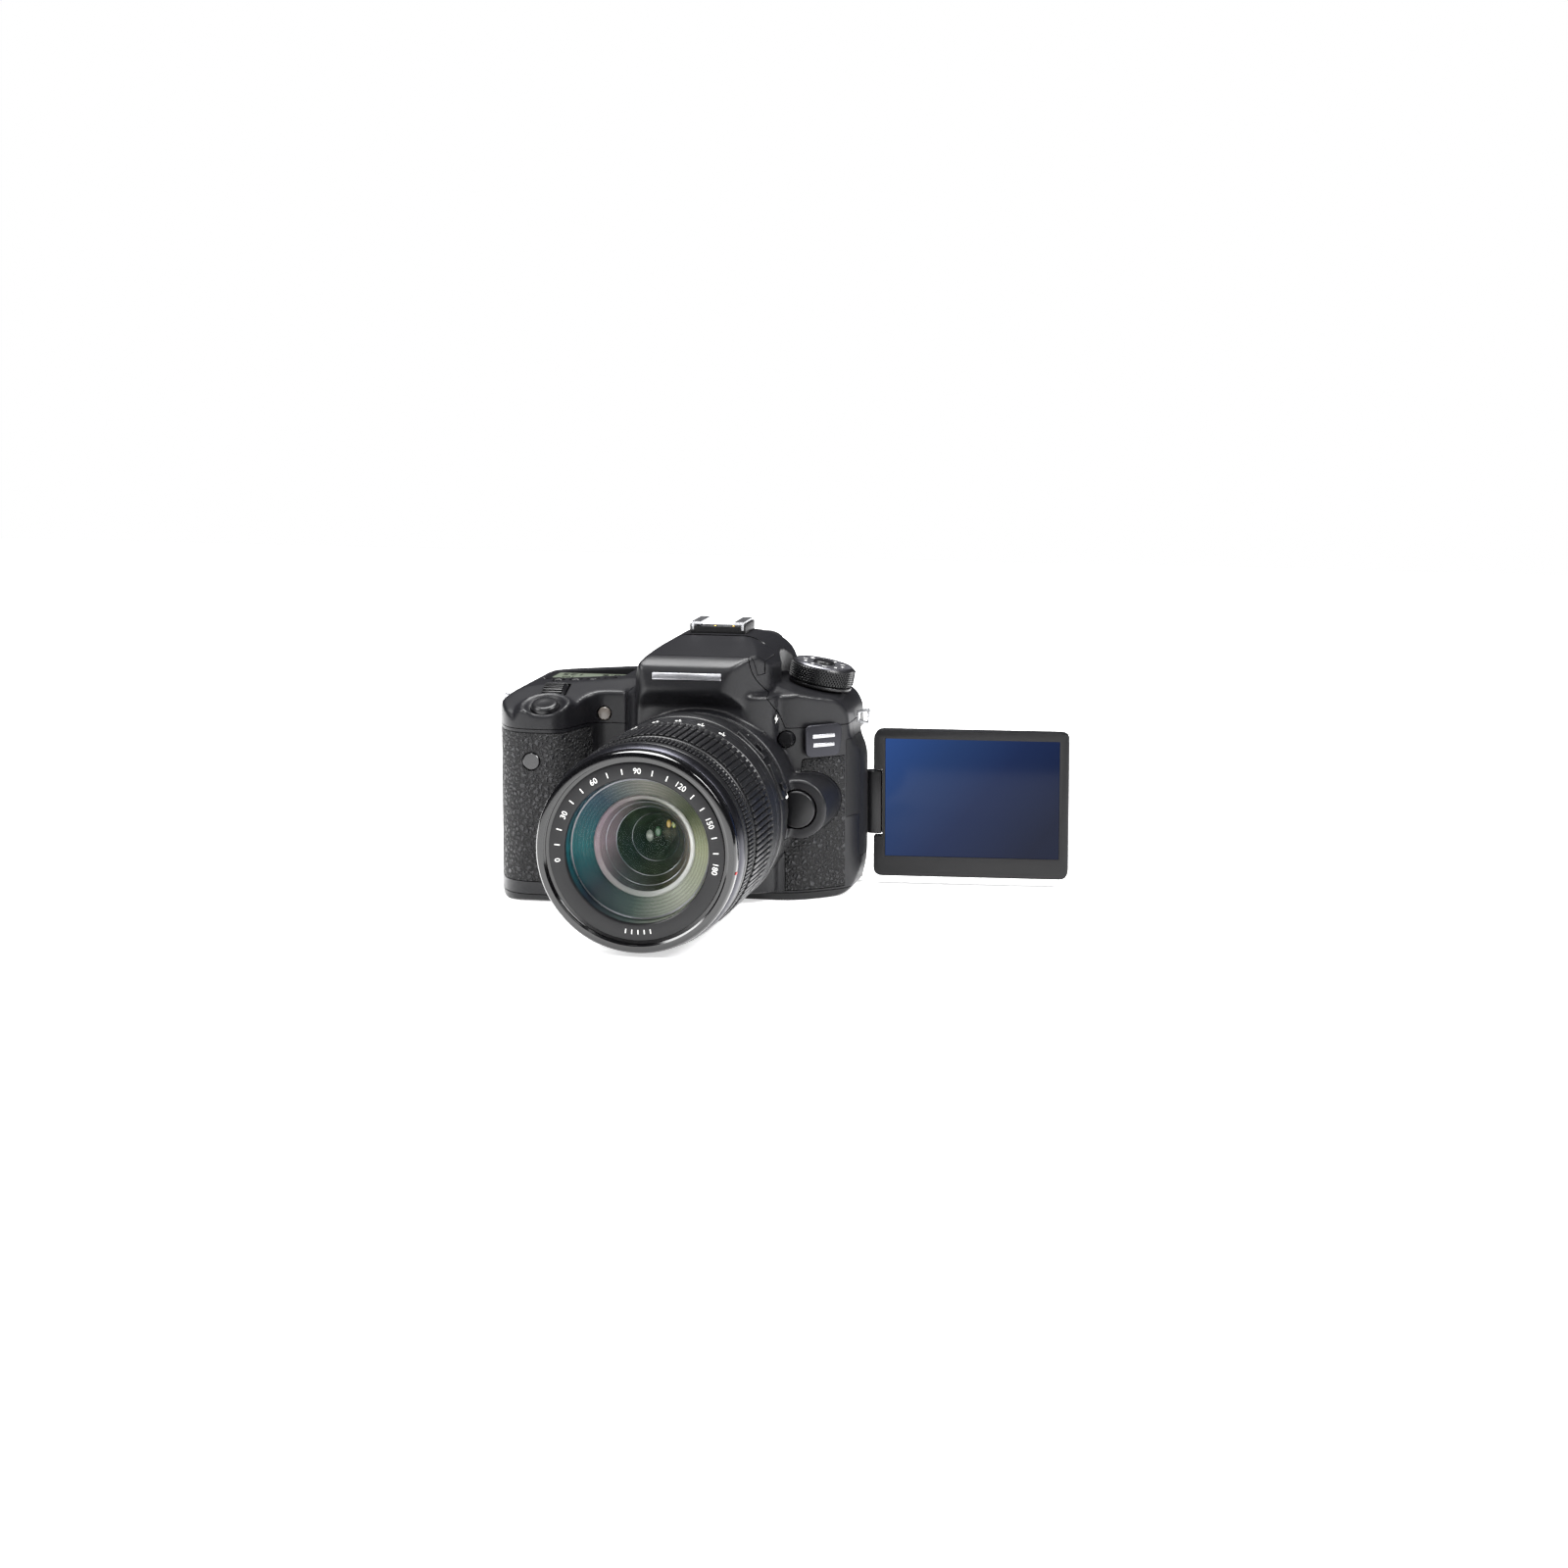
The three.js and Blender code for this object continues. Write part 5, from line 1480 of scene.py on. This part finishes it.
@dataclass
class Fittings:
    """The accessory shoe, lugs, plates, lamps, screws and the base's fittings."""

    shoe_plate: float = 0.9
    shoe_wall: float = 0.68

    def shoe(self) -> None:
        """The accessory shoe: black base, bright folded rails and contacts."""
        low, high = box_mm("hot_shoe")
        floor = low.z + self.shoe_plate
        rails = of_node("hot_shoe").meet(slab(z=(floor + 0.02, FAR))).meet(
            slab(x=(-high.x + 0.7, high.x - 0.7)))
        rails.piece("shoe_rails", "camera_body", STEEL, ["hot_shoe"], "bright_steel")
        base = block((low.x, low.y, low.z - 0.6), (high.x, high.y, floor), 0.25)
        walls = [
            block((x, low.y, low.z), (x + self.shoe_wall, high.y, high.z - 0.9), 0.2)
            for x in (-high.x, high.x - self.shoe_wall)
        ]
        sill = block((low.x, low.y, low.z), (high.x, low.y + 1.3, floor + 1.5), 0.3)
        base.add(*walls, sill).piece("shoe_base", "camera_body", PLASTIC_DARK, slot="control_plastic")
        plate = block((-8.6, low.y + 1.4, floor - 0.05), (8.6, high.y - 0.3, floor + 0.12))
        plate.piece("shoe_floor", "camera_body", STEEL, slot="bright_steel")
        spots = ((0, 2.2, 1.5), (3.6, 5.2, 0.7), (-3.6, 5.2, 0.7), (3.6, -0.6, 0.7), (-3.6, -0.6, 0.7))
        contacts = [
            turned([(0, -0.1), (r, -0.1), (r, 0.05), (r * 0.8, 0.16), (0, 0.2)], 32).placed(
                shifted(x, y, floor + 0.12))
            for x, y, r in spots
        ]
        contacts[0].add(*contacts[1:]).piece(
            "shoe_contacts", "camera_body", GOLD, slot="bright_steel")

    def plates(self) -> None:
        """The badge beside the mount and the inlay on the prism housing, both without words."""
        softened("badge_plate", 0.35, sharper_than=60).piece(
            "badge", "camera_body", BADGE, ["badge_plate"], "cast_alloy")
        facing = shifted(44.6, -22, 55.8) @ spun(42)
        lines = [
            block((-5.2, -1.3, 7.3), (4.6, -0.85, 8.7), 0.18),
            block((-5.0, -1.3, 3.9), (4.4, -0.85, 5.3), 0.18)]
        lines[0].add(lines[1]).placed(facing).piece(
            "badge_bars", "camera_body", SILVER_INLAY, slot="bright_steel")
        bar = block((-13.4, -1.35, -0.4), (13.4, 1.35, 0.4), 0.35)
        bar.aimed((-3.7, -43.5, 88.0), (0, -0.977, 0.213))
        bar.piece("housing_inlay", "camera_body", SILVER_INLAY, slot="bright_steel")
        bolt = prism(Axis.Y, ((0.2, 1.7, 0), (-0.8, -0.2, 0), (-0.1, -0.2, 0), (-0.4, -1.7, 0),
                              (0.8, 0.3, 0), (0.1, 0.3, 0)), -0.3, 0.3, 1)
        bolt.placed(shifted(28.4, -31.6, 71.1) @ spun(38))
        bolt.piece("flash_sign", "camera_body", INK_WHITE, slot="bright_steel")

    def front(self) -> None:
        """The keys, lamps and screws of the front."""
        flash_key = turned([(0, -1), (3.1, -1), (3.1, 2.2), (2.7, 2.9), (1.6, 3.0), (0, 2.8)], 48)
        flash_key.aimed((31.5, -26.0, 62.8), (0, -1, 0)).piece(
            "flash_key", "flash_button", CONTROL, ["flash_button"], "control_plastic", 50.0)
        softened("lens_release_button", 0.7).piece(
            "release_key", "lens_release_button", CONTROL, ["lens_release_button"], "control_plastic")
        low, high = box_mm("self_timer_lamp")
        lamp = turned([(0, 0), (2.5, 0), (2.5, 2.6), (2.2, 3.0), (1.2, 3.2), (0, 3.25)], 40)
        lamp.aimed(((low.x + high.x) / 2, high.y, (low.z + high.z) / 2), (0, -1, 0)).piece(
            "lamp_window", "camera_body", LAMP_WINDOW, ["self_timer_lamp"], "lamp_diffuser")
        low, high = box_mm("remote_sensor")
        eye = turned([(0, 0), (3.3, 0), (3.3, 1.2), (3.0, 1.5), (0, 1.55)], 40)
        eye.aimed(((low.x + high.x) / 2, high.y, (low.z + high.z) / 2), (0, -1, 0)).piece(
            "remote_window", "camera_body", SENSOR_WINDOW, ["remote_sensor"], "gloss_plastic")
        for name, x, y, lean in (("left", -23.9, -37.0, -0.5), ("right", 23.8, -35.7, 0.55)):
            screw_head().placed(Matrix.Scale(1.3, 4)).aimed((x, y, 65.5), (lean, -1, 0)).piece(
                f"mount_screw_{name}", "camera_body", CONTROL, slot="control_plastic")

    def lugs(self) -> None:
        """The wire loops for the strap."""
        for side in ("left", "right"):
            softened(f"strap_lug_{side}", 0.42, segments=4).piece(
                f"strap_loop_{side}", "camera_body", STEEL, [f"strap_lug_{side}"], "bright_steel")

    def base(self) -> None:
        """The battery door, tripod socket and screws under the body."""
        softened("battery_door", 0.5).piece(
            "battery_lid", "battery_door", PLASTIC_DARK, ["battery_door"], "body_plastic")
        thread = [(3.2, 0.15), (3.15, 0.2)]
        for k in range(5):
            thread += [(2.75, 0.5 + 0.8 * k), (3.1, 0.9 + 0.8 * k)]
        socket = turned([
            (4.6, 0.12), (4.6, 0.0), (3.4, 0.0), *thread, (3.1, 5.2), (4.0, 5.2), (4.0, 2.0)], 64)
        socket.placed(shifted(0, -13, 0)).piece(
            "tripod_bush", "camera_body", STEEL, slot="bright_steel")
        spots = ((-40, 12), (40, 12), (44, -14), (18, 14), (-20, 14))
        heads = repeated(screw_head(), [shifted(x, y, 0.45) @ spun(180, "X") for x, y in spots])
        heads.piece("base_screws", "camera_body", CONTROL, slot="control_plastic")

    def build(self) -> None:
        """Makes all fittings."""
        self.shoe()
        self.plates()
        self.front()
        self.lugs()
        self.base()
        clear_tools()


def dress_inner_works() -> None:
    """Gives the CAD nodes that stay their real finishes."""
    finishes = {
        "chassis": CAST, "reflex_mirror": MIRROR_COAT, "pentaprism": PRISM_GLASS,
        "shutter_unit": GLOSS, "image_sensor": SENSOR_GLASS, "main_board": BOARD,
        "battery": BATTERY_SKIN, "lens_mount_ring": STEEL, "body_mount_ring": STEEL,
        "rear_element": REAR_GLASS,
    }
    for node, finish in finishes.items():
        mesh = frame["nodes"][node].data
        mesh.materials.clear()
        mesh.materials.append(finish.material())


# ---------------------------------------------------------------- studio


@dataclass
class Studio:
    """A pale floor, soft lights and the camera at the viewing angle."""

    eye: tuple[float, float, float] = (337.5, -1486.0, 303.2)
    azimuth: float = 11.884
    elevation: float = 9.812
    focal_length: float = 90.97
    sensor: float = 36.0
    floor_reach: float = 1.1  # m from the middle to each side
    floor_glow: float = 0.62
    aim: tuple[float, float, float] = (0.0, -0.03, 0.06)  # m, the point that the lamps face

    def floor(self) -> None:
        """The pale floor, which isn't part of the object."""
        form = bmesh.new()
        bmesh.ops.create_grid(form, x_segments=1, y_segments=1, size=self.floor_reach)
        mesh = bpy.data.meshes.new("floor")
        form.to_mesh(mesh)
        form.free()
        plain = bpy.data.materials.new("matte_white_paint")
        plain.use_nodes = True
        shader = plain.node_tree.nodes["Principled BSDF"]
        shader.inputs["Base Color"].default_value = linear("#fafafa")
        shader.inputs["Roughness"].default_value = 0.9
        shader.inputs["Specular IOR Level"].default_value = 0.0
        shader.inputs["Emission Color"].default_value = (1.0, 1.0, 1.0, 1.0)
        shader.inputs["Emission Strength"].default_value = self.floor_glow
        mesh.materials.append(plain)
        made = bpy.data.objects.new("floor", mesh)
        bpy.context.scene.collection.objects.link(made)

    def light(self, name: str, at: tuple[float, float, float], size: tuple[float, float],
              power: float) -> None:
        """Adds a soft box.

        Args:
            name: the lamp's name.
            at: its place in metres.
            size: its width and height in metres.
            power: its power in watts.
        """
        lamp = bpy.data.lights.new(name, "AREA")
        lamp.shape, lamp.size, lamp.size_y, lamp.energy = "RECTANGLE", *size, power
        holder = bpy.data.objects.new(name, lamp)
        holder.location = at
        holder.rotation_euler = (Vector(self.aim) - Vector(at)).to_track_quat("-Z", "Y").to_euler()
        bpy.context.scene.collection.objects.link(holder)

    def lights(self) -> None:
        """Soft boxes above, to both sides and in front, over a pale surround."""
        self.light("overhead_box", (-0.1, 0.1, 1.1), (0.8, 0.5), 24.0)
        self.light("left_box", (-0.9, -0.7, 0.75), (0.4, 0.7), 14.0)
        self.light("right_box", (0.85, -0.35, 0.9), (0.4, 0.6), 20.0)
        self.light("front_box", (0.1, -1.3, 1.0), (0.7, 0.35), 5.0)
        world = bpy.data.worlds.new("surround")
        world.use_nodes = True
        tree = world.node_tree
        ray = add_node(tree, "LightPath")
        tone = add_node(tree, "Mix", {
            0: ray.outputs["Is Camera Ray"], 6: (0.06, 0.06, 0.066, 1.0), 7: (1.0, 1.0, 1.0, 1.0)},
            data_type="RGBA")
        tree.links.new(tone.outputs[2], tree.nodes["Background"].inputs["Color"])
        bpy.context.scene.world = world

    def camera(self) -> None:
        """The camera, with its picture centred and no depth of field."""
        data = bpy.data.cameras.new("view")
        data.lens, data.sensor_width = self.focal_length, self.sensor
        data.clip_start, data.clip_end = 0.05, 50.0
        holder = bpy.data.objects.new("view", data)
        holder.location = Vector(self.eye) * MM
        a, e = math.radians(self.azimuth), math.radians(self.elevation)
        back = Vector((math.sin(a) * math.cos(e), -math.cos(a) * math.cos(e), math.sin(e)))
        holder.rotation_euler = (-back).to_track_quat("-Z", "Y").to_euler()
        bpy.context.scene.collection.objects.link(holder)
        bpy.context.scene.camera = holder

    def build(self) -> None:
        """Sets the stage and plain picture tones."""
        self.floor()
        self.lights()
        self.camera()
        bpy.context.scene.view_settings.view_transform = "Standard"


def main() -> None:
    """Builds the camera's looks and the studio round it."""
    logging.basicConfig(level=logging.INFO, format="%(message)s")
    Studio().build()
    BodyCasing().build()
    TopControls().build()
    RearControls().build()
    ZoomLens().build()
    SwingDisplay().build()
    Fittings().build()
    dress_inner_works()
    clear_tools()


if __name__ == "__main__":
    main()
